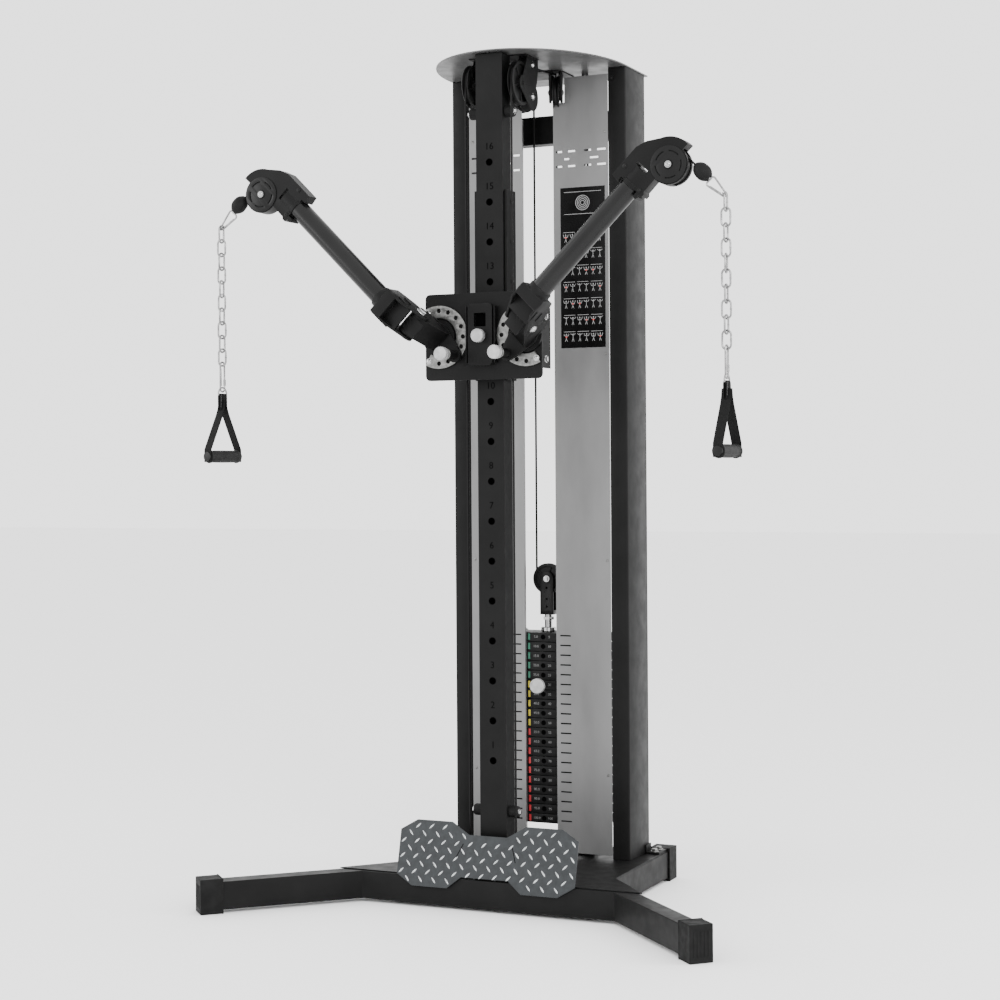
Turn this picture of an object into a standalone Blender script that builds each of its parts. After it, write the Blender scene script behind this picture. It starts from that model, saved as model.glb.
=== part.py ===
"""A cable crossover machine with two swinging arms on a sliding carriage, and its weight stack.

Design frame, metres: X = 0 is the symmetry plane and +X the right-hand side as the user faces the machine,
+Y points to the back with Y = 0 on the front faces of the uprights, Z = 0 is the floor.
Everything hangs from one datum empty, which moves that frame so that the origin is at the middle of the
floor area. Right-hand pieces are modelled, and left-hand ones are their mirror images.
"""

import math

import bmesh
import bpy
from mathutils import Matrix, Vector

# ---------------------------------------------------------------- driving dimensions, metres
GAP = 0.0003                    # clearance kept between pieces that touch
RUN = 0.0004                    # radial clearance of a pin or axle in its bore

TUBE_W, TUBE_H, TUBE_WALL = 0.050, 0.070, 0.003
TUBE_Z = 0.0085                 # underside of the base tubes
BEAM_FRONT = -0.362             # front face of the front beam
LEG_END = (0.6576, -0.6409)     # centre of a front leg's end face, cap included
LEG_TURN = math.radians(-45)    # front legs run out and forward
RAIL_OUT = 0.292                # outer face of a rear leg
REAR_END = 0.230                # end face of the rear caps
CROSS_Y = (0.030, 0.080)        # cross member under the stack
CAP_W, CAP_L, CAP_TOP, CAP_END = 0.0585, 0.058, 0.087, 0.004

PLATE_TOP, PLATE_T = 0.0813, 0.0025
DECK = PLATE_TOP + GAP          # what stands on the base plate starts here
TOP_UNDER, TOP_T = 2.1453, 0.0037
TOP_A, TOP_B, TOP_BACK = 0.251, 0.325, 0.165

UPRIGHT_IN, UPRIGHT_OUT, UPRIGHT_DEPTH, UPRIGHT_TOP = 0.200, 0.249, 0.147, 2.145
POST_W, POST_FRONT, POST_BACK, POST_TOP = 0.0725, -0.307, -0.257, 2.143
HOLE_COUNT, HOLE_FIRST, HOLE_PITCH, HOLE_D = 16, 0.370, 0.100, 0.016

PANEL_EDGE, PANEL_Y, PANEL_T, PANEL_FLANGE = 0.045, 0.001, 0.0015, 0.009
PANEL_BOTTOM, PANEL_TOP = 0.091, 2.130
PANEL_NOTCH = (0.090, 2.030)    # corner cut away for the rear top pulley
VENTS = (
    (1.935, ((0.052, 0.070), (0.087, 0.107), (0.132, 0.152), (0.169, 0.193))),
    (1.915, ((0.076, 0.090), (0.149, 0.172))),
    (1.896, ((0.052, 0.070), (0.087, 0.107), (0.132, 0.152), (0.169, 0.193))),
)
VENT_H = 0.005
BOARD_X, BOARD_Z, BOARD_T = (0.065, 0.190), (1.418, 1.839), 0.0007
CROSSBAR_Y, CROSSBAR_Z = (0.080, 0.120), (1.973, 2.048)

STACK_Y, STACK_W, STACK_D = 0.055, 0.330, 0.086
STACK_BOTTOM, PLATE_PITCH, PLATE_COUNT, LIFTED = 0.162, 0.0253, 20, 6
PLATE_GROOVE, PLATE_SLIT = 0.004, 0.0016
ROD_X, ROD_D = 0.115, 0.019
STEM_D, STEM_BORE, PIN_D = 0.020, 0.024, 0.009
FLOAT_Z, FLOAT_RIM, FLOAT_PITCH = 0.808, 0.041, 0.033
CABLE_D = 0.0055
GROOVE_CLEAR = 0.0010           # under the cable in a pulley's groove
LEAD = 0.024                    # straight run of the cable before and after a top pulley
AXLE_D = 0.010

REAR_WHEEL = (0.048, 0.015, 2.095)
REAR_TOE = math.radians(20.9)   # toe of the rear top pulleys
REAR_RIM, REAR_PITCH = 0.0455, 0.0428
FRONT_WHEEL = (0.063, -0.262, 2.070)
FRONT_RIM, FRONT_PITCH = 0.055, 0.048
WHEEL_W, CHEEK_T = 0.016, 0.003
LOBE_Y, LOBE_Z, LOBE_R = -0.203, (2.045, 2.130), 0.036
HANGER_Z = (2.1425, 2.1450)     # plates that carry the top pulleys

BUMPER_Y, BUMPER_R, BUMPER_OUT, BUMPER_Z = -0.285, 0.0145, 0.061, (0.242, 1.997)

CARRIAGE_W, CARRIAGE_Z, CARRIAGE_FRONT, CARRIAGE_T = 0.318, (1.323, 1.540), -0.351, 0.006
CHANNEL_X, CHANNEL_T, CHANNEL_TOP = 0.0385, 0.006, 1.800
CHANNEL_Y = (-0.300, -0.2467)
HOUSING_W, HOUSING_Z, HOUSING_FRONT = 0.066, (1.358, 1.511), -0.370
WINDOW_W, WINDOW_Z, WINDOW_DEPTH = 0.032, (1.454, 1.488), 0.012
CARRIAGE_PIN_Z, CARRIAGE_PIN_D, KNOB_D = 1.431, 0.012, 0.034

PIVOT_X, PIVOT_Z = 0.119, 1.432
ARM_RISE = math.radians(45)     # the arm's angle above level
DISC_FRONT, DISC_R, DISC_INNER, DISC_HOLES_R, DISC_HALF = -0.3573, 0.079, 0.048, 0.066, 118
DISC_STEP = 22.5
HUB_Y = (-0.3585, -0.370)
BARREL_Y, BARREL_R = -0.415, 0.0125
SWING = (0.043, -0.445)         # swing bolt, along the arm and in Y
CLEVIS_V, EAR_V = 0.0285, (0.031, 0.037)
ARM_Y, ARM_D, ARM_WALL, ARM_U = -0.485, 0.050, 0.0025, (0.100, 0.460)
HEAD_WHEEL = (0.5597, -0.041)   # along and across the arm
HEAD_HALF, HEAD_SLOT, HEAD_DISC_R, GUARD_R = 0.019, 0.0105, 0.0465, 0.065
HEAD_RIM, HEAD_PITCH = 0.0435, 0.040
GUARD_BACK = ((0.563, 0.0375), (0.537, 0.0475), (0.452, 0.0475), (0.450, 0.0265), (0.463, 0.0265))
CLAMP_TEETH = ((0.463, -0.0265), (0.450, -0.0265), (0.447, -0.035), (0.4555, -0.0385), (0.459, -0.035),
               (0.462, -0.0445), (0.470, -0.0445), (0.475, -0.040))
NECK_END, HEAD_WINDOW = 0.507, ((0.5085, 0.5155), (-0.014, 0.020))
BALL_V, BALL_L, BALL_R = -0.109, 0.045, 0.019
CARABINER_V = (-0.1340, -0.1870)
HANG = (0.5970, -0.1890)        # where the chain hangs, along and across the arm
LINK_WIRE = 0.0045
CHAIN_DROP = (0.010, 0.3625)    # chain, measured down from where it hangs
STRAP_DROP = 0.3655             # handle's own pivot, below where the chain hangs
HOOK_L, WEB_L, STRAP_L = 0.0695, 0.036, 0.131
WEB_W, WEB_T, STRAP_HALF = 0.025, 0.003, 0.054
GRIP_D, GRIP_L, CORE_D = 0.030, 0.100, 0.010
HANDLE_TURN = {"left": math.radians(76), "right": math.radians(84)}

FOOT_Y, FOOT_T, FOOT_LEAN = -0.352, 0.003, math.radians(14)
FOOT_MID_Z = 0.1345

FRONT_REACH = LEG_END[1] - CAP_W / 2 * math.cos(LEG_TURN)
DATUM_Y = -(FRONT_REACH + REAR_END) / 2

FINISHES = {
    "frame_black": ((0.018, 0.018, 0.019), 0.45, 0.0),
    "panel_grey": ((0.33, 0.33, 0.33), 0.42, 0.55),
    "zinc_plate": ((0.62, 0.62, 0.60), 0.38, 0.9),
    "chrome": ((0.75, 0.75, 0.75), 0.12, 1.0),
    "rubber_black": ((0.012, 0.012, 0.012), 0.75, 0.0),
    "board_black": ((0.010, 0.010, 0.011), 0.30, 0.0),
    "tread_plate": ((0.10, 0.11, 0.12), 0.40, 0.6),
    "cast_black": ((0.015, 0.015, 0.015), 0.60, 0.1),
    "cable_black": ((0.010, 0.010, 0.010), 0.40, 0.0),
    "pulley_black": ((0.014, 0.014, 0.014), 0.35, 0.0),
    "webbing_black": ((0.012, 0.012, 0.012), 0.85, 0.0),
}


# ---------------------------------------------------------------- scene and materials
def clear_scene():
    for thing in list(bpy.data.objects):
        bpy.data.objects.remove(thing, do_unlink=True)


def make_collection(name):
    found = bpy.data.collections.new(name)
    bpy.context.scene.collection.children.link(found)
    return found


def finish_material(name):
    if name in bpy.data.materials:
        return bpy.data.materials[name]
    colour, roughness, metallic = FINISHES[name]
    material = bpy.data.materials.new(name)
    material.use_nodes = True
    shader = material.node_tree.nodes["Principled BSDF"]
    shader.inputs["Base Color"].default_value = (*colour, 1.0)
    shader.inputs["Roughness"].default_value = roughness
    shader.inputs["Metallic"].default_value = metallic
    return material


# ---------------------------------------------------------------- solids, as meshes
def to_mesh(bm, outward=True):
    mesh = bpy.data.meshes.new("solid")
    if outward:
        bmesh.ops.recalc_face_normals(bm, faces=bm.faces[:])
    bm.to_mesh(mesh)
    bm.free()
    return mesh


def box(x, y, z):
    """A block between two corners, each axis given as (low, high)."""
    bm = bmesh.new()
    bmesh.ops.create_cube(bm, size=1.0)
    size = Vector((x[1] - x[0], y[1] - y[0], z[1] - z[0]))
    middle = Vector((x[1] + x[0], y[1] + y[0], z[1] + z[0])) / 2
    bmesh.ops.scale(bm, vec=size, verts=bm.verts[:])
    bmesh.ops.translate(bm, vec=middle, verts=bm.verts[:])
    return to_mesh(bm)


def axis_matrix(axis):
    """Turns +Z onto the named axis."""
    if axis == "X":
        return Matrix.Rotation(math.pi / 2, 4, "Y")
    if axis == "Y":
        return Matrix.Rotation(-math.pi / 2, 4, "X")
    return Matrix.Identity(4)


def rod(axis, centre, span, radius, sides=20):
    """A round bar along an axis: its centre on the other two axes is given by centre, its ends by span."""
    bm = bmesh.new()
    bmesh.ops.create_cone(bm, cap_ends=True, segments=sides, radius1=radius, radius2=radius,
                          depth=span[1] - span[0])
    bmesh.ops.transform(bm, matrix=axis_matrix(axis), verts=bm.verts[:])
    place = list(centre)
    place["XYZ".index(axis)] = (span[0] + span[1]) / 2
    bmesh.ops.translate(bm, vec=Vector(place), verts=bm.verts[:])
    return to_mesh(bm)


def baked(thing, weld=0.00001, outward=True):
    """The evaluated mesh of a scratch object, which is then removed."""
    bpy.context.scene.collection.objects.link(thing)
    graph = bpy.context.evaluated_depsgraph_get()
    mesh = bpy.data.meshes.new_from_object(thing.evaluated_get(graph))
    bpy.data.objects.remove(thing, do_unlink=True)
    bm = bmesh.new()
    bm.from_mesh(mesh)
    bmesh.ops.remove_doubles(bm, verts=bm.verts[:], dist=weld)
    bpy.data.meshes.remove(mesh)
    return to_mesh(bm, outward)


def plate(outline, span, normal="Z", holes=()):
    """A flat outline with holes, extruded between the two places in span along its normal.

    Outline points are (x, y) for normal Z, (x, z) for normal Y and (y, z) for normal X.
    """
    curve = bpy.data.curves.new("outline", "CURVE")
    curve.dimensions = "2D"
    curve.fill_mode = "BOTH"
    curve.extrude = (span[1] - span[0]) / 2
    for ring in (outline, *holes):
        spline = curve.splines.new("POLY")
        spline.points.add(len(ring) - 1)
        for point, (a, b) in zip(spline.points, ring):
            point.co = (a, b, 0.0, 1.0)
        spline.use_cyclic_u = True
    mesh = baked(bpy.data.objects.new("outline", curve))
    middle = (span[0] + span[1]) / 2
    if normal == "X":
        turn = Matrix(((0, 0, 1, middle), (1, 0, 0, 0), (0, 1, 0, 0), (0, 0, 0, 1)))
    elif normal == "Y":
        turn = Matrix(((1, 0, 0, 0), (0, 0, -1, middle), (0, 1, 0, 0), (0, 0, 0, 1)))
    else:
        turn = Matrix.Translation((0, 0, middle))
    mesh.transform(turn)
    return mesh


def circle(centre, radius, sides=16):
    return arc(centre, radius, 0, 360, sides)[:-1]


def arc(centre, radius, start, end, steps):
    """Points on an arc, from one angle to the other in degrees."""
    turns = [math.radians(start + (end - start) * i / steps) for i in range(steps + 1)]
    return [(centre[0] + radius * math.cos(a), centre[1] + radius * math.sin(a)) for a in turns]


def rectangle(x, y):
    return [(x[0], y[0]), (x[1], y[0]), (x[1], y[1]), (x[0], y[1])]


def rounded_rectangle(x, y, radius, steps=4):
    corners = ((x[1], y[0], -90), (x[1], y[1], 0), (x[0], y[1], 90), (x[0], y[0], 180))
    ring = []
    for cx, cy, start in corners:
        centre = (cx - math.copysign(radius, cx - sum(x) / 2), cy - math.copysign(radius, cy - sum(y) / 2))
        ring += arc(centre, radius, start, start + 90, steps)
    return ring


def mirrored(points):
    """An outline's right half, followed by its mirror image."""
    return list(points) + [(-x, y) for x, y in reversed(points)]


def turned(profile, axis="Z", centre=(0, 0, 0), sides=24, ring=False):
    """A profile of (radius, height) points turned about an axis. A ring closes on itself around a bore."""
    mesh = bpy.data.meshes.new("profile")
    edges = [(i, i + 1) for i in range(len(profile) - 1)]
    if ring:
        edges.append((len(profile) - 1, 0))
    mesh.from_pydata([(r, 0, z) for r, z in profile], edges, [])
    thing = bpy.data.objects.new("profile", mesh)
    screw = thing.modifiers.new("turn", "SCREW")
    screw.steps = sides
    screw.render_steps = sides
    screw.use_merge_vertices = True
    screw.merge_threshold = 0.00001
    solid = baked(thing)
    solid.transform(Matrix.Translation(centre) @ axis_matrix(axis))
    return solid


def pulley(rim, pitch, bore, axis="X", centre=(0, 0, 0)):
    """A grooved wheel. The cable's centre line runs at the pitch radius."""
    half = WHEEL_W / 2
    floor = pitch - CABLE_D / 2 - GROOVE_CLEAR
    profile = [(bore, half), (rim, half), (rim, half - 0.0015), (floor, 0.0025),
               (floor, -0.0025), (rim, -half + 0.0015), (rim, -half), (bore, -half)]
    return turned(profile, axis, centre, 20, ring=True)


def wire(points, diameter, cyclic=False, sides=2):
    """A tube along the points."""
    curve = bpy.data.curves.new("wire", "CURVE")
    curve.dimensions = "3D"
    curve.bevel_depth = diameter / 2
    curve.bevel_resolution = sides
    curve.use_fill_caps = not cyclic
    spline = curve.splines.new("POLY")
    spline.points.add(len(points) - 1)
    for point, place in zip(spline.points, points):
        point.co = (*place, 1.0)
    spline.use_cyclic_u = cyclic
    return baked(bpy.data.objects.new("wire", curve))


def combine(base, others, operation="UNION"):
    """Joins others to base, or cuts them from it."""
    for other in others:
        thing = bpy.data.objects.new("base", base)
        tool = bpy.data.objects.new("tool", other)
        CUTTERS.objects.link(tool)
        tool.hide_render = True
        tool.display_type = "WIRE"
        step = thing.modifiers.new("step", "BOOLEAN")
        step.operation = operation
        step.solver = "EXACT"
        step.object = tool
        base = baked(thing, 0.000001, outward=False)
        bpy.data.objects.remove(tool, do_unlink=True)
    return base


def cut(base, cutters):
    return combine(base, cutters, "DIFFERENCE")


def moved(mesh, matrix):
    mesh.transform(matrix)
    return mesh


# ---------------------------------------------------------------- objects and joints
def pivot(name, parent, at=(0, 0, 0), turn=(0, 0, 0)):
    """An empty on a joint's axis."""
    empty = bpy.data.objects.new(name, None)
    PARTS.objects.link(empty)
    empty.parent = parent
    empty.location = at
    empty.rotation_euler = turn
    return empty


def add(name, mesh, finish, parent):
    """Adds one sub-part, modelled about its parent's origin."""
    mesh.name = name
    mesh.materials.clear()
    mesh.materials.append(finish_material(finish))
    mesh.shade_smooth()
    mesh.set_sharp_from_angle(angle=math.radians(32))
    thing = bpy.data.objects.new(name, mesh)
    PARTS.objects.link(thing)
    thing.parent = parent
    return thing


def mirror_mesh(mesh):
    other = mesh.copy()
    other.transform(Matrix.Scale(-1, 4, (1, 0, 0)))
    other.flip_normals()
    return other


class Side:
    """Adds pieces and pivots for one side: the left one mirrors what it is given."""

    def __init__(self, name):
        self.name = name
        self.sign = 1 if name == "right" else -1

    def pivot(self, name, parent, at=(0, 0, 0), turn=(0, 0, 0)):
        place = (self.sign * at[0], at[1], at[2])
        angles = (turn[0], self.sign * turn[1], self.sign * turn[2])
        return pivot(f"{self.name}_{name}", parent, place, angles)

    def add(self, name, mesh, finish, parent):
        solid = mesh if self.sign > 0 else mirror_mesh(mesh)
        return add(f"{self.name}_{name}", solid, finish, parent)


# ---------------------------------------------------------------- fixed frame
def leg_edge(offset):
    """x + y along a line beside a front leg, offset metres behind its centre line."""
    return LEG_END[0] + LEG_END[1] + offset * math.sqrt(2)


def base_outline(inset, stop):
    """Plan of the front beam and legs, inset from the faces and stopped short of the leg ends."""
    half = TUBE_W / 2 - inset
    front = BEAM_FRONT + inset
    back = BEAM_FRONT + TUBE_W - inset
    along = Vector((math.cos(LEG_TURN), math.sin(LEG_TURN)))
    across = Vector((-along.y, along.x))
    end = Vector(LEG_END) - along * stop
    points = [(leg_edge(-half) - front, front), tuple(end - across * half), tuple(end + across * half),
              (leg_edge(half) - back, back)]
    return mirrored(points)


def front_base():
    tube_z = (TUBE_Z, TUBE_Z + TUBE_H)
    hollow_z = (TUBE_Z + TUBE_WALL, TUBE_Z + TUBE_H - TUBE_WALL)
    solid = plate(base_outline(0, CAP_END + GAP), tube_z)
    return cut(solid, [plate(base_outline(TUBE_WALL, -0.01), hollow_z)])


def rear_outline(inset, front, back):
    outer = RAIL_OUT - inset
    inner = RAIL_OUT - TUBE_W + inset
    near = CROSS_Y[0] + inset
    far = CROSS_Y[1] - inset
    return [(outer, front), (outer, back), (inner, back), (inner, far), (-inner, far), (-inner, back),
            (-outer, back), (-outer, front), (-inner, front), (-inner, near), (inner, near), (inner, front)]


def rear_base():
    front = BEAM_FRONT + TUBE_W + GAP
    back = REAR_END - CAP_END - GAP
    solid = plate(rear_outline(0, front, back), (TUBE_Z, TUBE_Z + TUBE_H))
    hollow_z = (TUBE_Z + TUBE_WALL, TUBE_Z + TUBE_H - TUBE_WALL)
    return cut(solid, [plate(rear_outline(TUBE_WALL, front - 0.01, back + 0.01), hollow_z)])


def foot_cap():
    """A moulded cap. Its end face is at the local origin, and the tube enters from local -X."""
    solid = box((-CAP_L, 0), (-CAP_W / 2, CAP_W / 2), (0, CAP_TOP))
    bore_y = (-TUBE_W / 2 - GAP, TUBE_W / 2 + GAP)
    bore = box((-CAP_L - 0.01, -CAP_END), bore_y, (TUBE_Z - GAP, TUBE_Z + TUBE_H + GAP))
    return cut(solid, [bore])


def base_plate():
    outline = mirrored([(0.413, -0.355), (0.293, -0.217), (0.290, 0.170)])
    return plate(outline, (PLATE_TOP - PLATE_T, PLATE_TOP))


def upright():
    depth = (0, UPRIGHT_DEPTH)
    outer = rounded_rectangle((UPRIGHT_IN, UPRIGHT_OUT), depth, 0.004, 2)
    inner = rectangle((UPRIGHT_IN + 0.003, UPRIGHT_OUT - 0.003), (0.003, UPRIGHT_DEPTH - 0.003))
    return plate(outer, (DECK, UPRIGHT_TOP), holes=[inner])


def centre_post():
    wall = 0.003
    half = POST_W / 2
    solid = box((-half, half), (POST_FRONT, POST_BACK), (DECK, POST_TOP))
    hollow = box((-half + wall, half - wall), (POST_FRONT + wall, POST_BACK - wall), (0, POST_TOP + 0.01))
    front_wall = (POST_FRONT - 0.002, POST_FRONT + wall + 0.002)
    holes = [rod("Y", (0, 0, HOLE_FIRST + HOLE_PITCH * k), front_wall, HOLE_D / 2, 12)
             for k in range(HOLE_COUNT)]
    bolts = [rod("X", (0, BUMPER_Y, z), (-half - 0.01, half + 0.01), 0.0045, 10) for z in BUMPER_Z]
    return cut(solid, [hollow, *holes, *bolts])


def top_plate():
    front = [(TOP_A * math.cos(a), TOP_B * math.sin(a))
             for a in (math.radians(-90 + 90 * i / 14) for i in range(15))]
    outline = mirrored(front[1:] + [(TOP_A, TOP_BACK)]) + [(0.0, -TOP_B)]
    return plate(outline, (TOP_UNDER, TOP_UNDER + TOP_T))


def rear_crossbar():
    wall = 0.003
    outer = rectangle(CROSSBAR_Y, CROSSBAR_Z)
    inner = rectangle((CROSSBAR_Y[0] + wall, CROSSBAR_Y[1] - wall),
                      (CROSSBAR_Z[0] + wall, CROSSBAR_Z[1] - wall))
    return plate(outer, (-UPRIGHT_IN + GAP, UPRIGHT_IN - GAP), normal="X", holes=[inner])


def side_panel():
    """The right-hand cover: a sheet with a folded inner edge and vent slots."""
    sheet = (PANEL_Y, PANEL_Y + PANEL_T)
    bend = PANEL_EDGE + PANEL_T
    section = [(PANEL_EDGE, sheet[0]), (UPRIGHT_IN - GAP, sheet[0]), (UPRIGHT_IN - GAP, sheet[1]),
               (bend, sheet[1]), (bend, sheet[0] + PANEL_FLANGE), (PANEL_EDGE, sheet[0] + PANEL_FLANGE)]
    solid = plate(section, (PANEL_BOTTOM, PANEL_TOP))
    through = (sheet[0] - 0.01, sheet[1] + 0.01)
    slots = [box(x, through, (z - VENT_H / 2, z + VENT_H / 2)) for z, row in VENTS for x in row]
    notch = box((0, PANEL_NOTCH[0]), (-0.01, 0.03), (PANEL_NOTCH[1], PANEL_TOP + 0.01))
    return cut(solid, slots + [notch])


def exercise_board():
    return plate(rectangle(BOARD_X, BOARD_Z), (PANEL_Y - GAP - BOARD_T, PANEL_Y - GAP), normal="Y")


def footplate():
    """Tread plate, leaning back, on two ribs that stand in front of the post."""
    half = [(0.064, -0.0525), (0.101, -0.0825), (0.198, -0.0825), (0.243, -0.055), (0.243, 0.056),
            (0.198, 0.0825), (0.101, 0.0825), (0.052, 0.053)]
    solid = plate(mirrored(half), (-FOOT_T / 2, FOOT_T / 2), normal="Y")
    solid.transform(Matrix.Translation((0, FOOT_Y, FOOT_MID_Z)) @ Matrix.Rotation(-FOOT_LEAN, 4, "X"))
    low, high = DECK, FOOT_MID_Z + 0.040
    lean = math.tan(FOOT_LEAN)
    rib = [(FOOT_Y + (low - FOOT_MID_Z) * lean, low), (POST_FRONT - GAP, low), (POST_FRONT - GAP, high),
           (FOOT_Y + (high - FOOT_MID_Z) * lean, high)]
    ribs = [plate(rib, (x - 0.0025, x + 0.0025), normal="X") for x in (-0.028, 0.028)]
    return combine(solid, ribs)


def bumper_pair(z):
    """Two rubber stops on one bolt through the post."""
    bolt, wall = 0.004, POST_W / 2 + GAP
    end = BUMPER_OUT + 0.005
    side = [(0, end), (0.006, end), (0.006, BUMPER_OUT), (BUMPER_R, BUMPER_OUT), (BUMPER_R, wall),
            (bolt, wall)]
    profile = side + [(r, -h) for r, h in reversed(side)]
    return turned(profile, "X", (0, BUMPER_Y, z), 20)


def guide_rods():
    bar = box((-0.135, 0.135), (STACK_Y - 0.016, STACK_Y + 0.016), (DECK, DECK + 0.012))
    pieces = []
    for x in (-ROD_X, ROD_X):
        pieces.append(rod("Z", (x, STACK_Y, 0), (DECK + 0.006, STACK_BOTTOM - GAP), 0.021, 20))
        pieces.append(rod("Z", (x, STACK_Y, 0), (DECK + 0.006, TOP_UNDER - GAP), ROD_D / 2, 16))
    return combine(bar, pieces)


def weight_block(bottom, count):
    """Plates held apart by thin slits, as one grooved block bored for the rods and the stem."""
    top = bottom + count * PLATE_PITCH - GAP
    half_w, half_d = STACK_W / 2, STACK_D / 2
    solid = box((-half_w + PLATE_GROOVE, half_w - PLATE_GROOVE),
                (STACK_Y - half_d + PLATE_GROOVE, STACK_Y + half_d - PLATE_GROOVE), (bottom, top))
    for k in range(count):
        low = bottom + k * PLATE_PITCH
        high = low + PLATE_PITCH - PLATE_SLIT if k < count - 1 else top
        solid = combine(solid, [box((-half_w, half_w), (STACK_Y - half_d, STACK_Y + half_d), (low, high))])
    bores = [rod("Z", (x, STACK_Y, 0), (bottom - 0.01, top + 0.01), radius, 16)
             for x, radius in ((-ROD_X, ROD_D / 2 + 0.001), (ROD_X, ROD_D / 2 + 0.001), (0, STEM_BORE / 2))]
    return cut(solid, bores)


def wheel_matrix(place, toe=0.0):
    return Matrix.Translation(place) @ Matrix.Rotation(toe, 4, "Z")


def rear_pulley_bracket():
    """A hanger plate with a pair of cheeks and an axle for each rear top pulley."""
    solid = box((-0.078, 0.078), (-0.035, 0.070), HANGER_Z)
    pieces = []
    for sign in (-1, 1):
        place = wheel_matrix((sign * REAR_WHEEL[0], REAR_WHEEL[1], REAR_WHEEL[2]), sign * REAR_TOE)
        for x in (-WHEEL_W / 2 - 0.001 - CHEEK_T, WHEEL_W / 2 + 0.001):
            outline = [(-0.022, HANGER_Z[1] - REAR_WHEEL[2] - 0.001)] + arc((0, 0), 0.022, 180, 360, 8)
            outline += [(0.022, HANGER_Z[1] - REAR_WHEEL[2] - 0.001)]
            pieces.append(moved(plate(outline, (x, x + CHEEK_T), normal="X"), place))
        reach = WHEEL_W / 2 + CHEEK_T + 0.005
        pieces.append(moved(rod("X", (0, 0, 0), (-reach, reach), AXLE_D / 2, 16), place))
    return combine(solid, pieces)


def front_pulley_bracket():
    """A hanger plate behind the post with two-lobed cheeks and an axle for each front top pulley."""
    solid = box((-0.080, 0.080), (POST_BACK + 0.003, LOBE_Y + 0.030), HANGER_Z)
    pieces = []
    low, high = LOBE_Z
    wheel = (FRONT_WHEEL[1], FRONT_WHEEL[2])
    for sign in (-1, 1):
        for x in (-WHEEL_W / 2 - 0.001 - CHEEK_T, WHEEL_W / 2 + 0.001):
            outline = arc((LOBE_Y, low), LOBE_R, -110, 50, 10)
            outline += [(LOBE_Y + 0.030, (low + high) / 2), (LOBE_Y + LOBE_R, high - 0.006)]
            outline += [(LOBE_Y + LOBE_R, HANGER_Z[1] - 0.001), (LOBE_Y - 0.030, HANGER_Z[1] - 0.001)]
            outline += arc(wheel, 0.020, 90, 250, 8)
            middle = sign * FRONT_WHEEL[0]
            pieces.append(plate(outline, (middle + x, middle + x + CHEEK_T), normal="X"))
        reach = WHEEL_W / 2 + CHEEK_T + 0.004
        span = (sign * FRONT_WHEEL[0] - reach, sign * FRONT_WHEEL[0] + reach)
        pieces.append(rod("X", (0, *wheel), span, AXLE_D / 2, 14))
    return combine(solid, pieces)


def fixed_cable():
    """Up beside the post, over the front pulley, back under the top plate and over the rear pulley."""
    x, y, z = FRONT_WHEEL
    toe = Vector((-math.sin(REAR_TOE), math.cos(REAR_TOE)))
    rear, top = Vector(REAR_WHEEL[:2]), REAR_WHEEL[2] + REAR_PITCH
    points = [(x, y - FRONT_PITCH, DECK + 0.002), (x, y - FRONT_PITCH, 1.0)]
    points += [(x, a, b) for a, b in arc((y, z), FRONT_PITCH, 180, 90, 6)]
    points.append((x, y + LEAD, z + FRONT_PITCH + 0.002))
    points.append((*(rear - toe * LEAD), top))
    for a in range(90, -1, -15):
        out = rear + toe * REAR_PITCH * math.cos(math.radians(a))
        points.append((*out, REAR_WHEEL[2] + REAR_PITCH * math.sin(math.radians(a))))
    return wire(points, CABLE_D)


def stack_cable():
    top = REAR_WHEEL[2] - 0.001
    x = REAR_WHEEL[0] - math.sin(REAR_TOE) * REAR_PITCH
    y = REAR_WHEEL[1] + math.cos(REAR_TOE) * REAR_PITCH
    return wire([(x, y, top), (FLOAT_PITCH, STACK_Y, FLOAT_Z)], CABLE_D)


# ---------------------------------------------------------------- weight lift
def lift_yoke():
    """Selector stem with a yoke for the floating pulley."""
    top = STACK_BOTTOM + PLATE_COUNT * PLATE_PITCH
    stem = rod("Z", (0, STACK_Y, 0), (STACK_BOTTOM + 0.010, top + 0.050), STEM_D / 2, 20)
    collar = rod("Z", (0, STACK_Y, 0), (top + GAP, top + 0.012), 0.020, 24)
    bridge_z = (top + 0.045, top + 0.057)
    reach = WHEEL_W / 2 + 0.001 + CHEEK_T
    bridge = box((-0.019, 0.019), (STACK_Y - reach, STACK_Y + reach), bridge_z)
    cheeks = []
    for y in (STACK_Y - reach, STACK_Y + reach - CHEEK_T):
        outline = [(-0.019, bridge_z[0]), (0.019, bridge_z[0])] + arc((0, FLOAT_Z), 0.019, 0, 180, 10)
        cheeks.append(plate(outline, (y, y + CHEEK_T), normal="Y"))
    axle = rod("Y", (0, 0, FLOAT_Z), (STACK_Y - reach - 0.004, STACK_Y + reach + 0.004), AXLE_D / 2, 16)
    return combine(stem, [collar, bridge, *cheeks, axle])


def selector_z():
    return STACK_BOTTOM + (PLATE_COUNT - LIFTED + 0.5) * PLATE_PITCH


def selector_pin():
    tip = STACK_Y - STEM_D / 2 - 0.0005
    neck = 0.002
    knob = [(0, -0.030), (0.017, -0.030), (0.020, -0.027), (0.020, -0.016), (0.012, -0.012), (0.007, neck)]
    profile = knob + [(PIN_D / 2, neck), (PIN_D / 2, tip), (0, tip)]
    return turned(profile, "Y", (0, 0, selector_z()), 24)


def lifted_weights():
    bottom = STACK_BOTTOM + (PLATE_COUNT - LIFTED) * PLATE_PITCH
    solid = weight_block(bottom, LIFTED)
    front = STACK_Y - STACK_D / 2
    return cut(solid, [rod("Y", (0, 0, selector_z()), (front - 0.01, STACK_Y), PIN_D / 2 + RUN, 14)])


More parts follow.
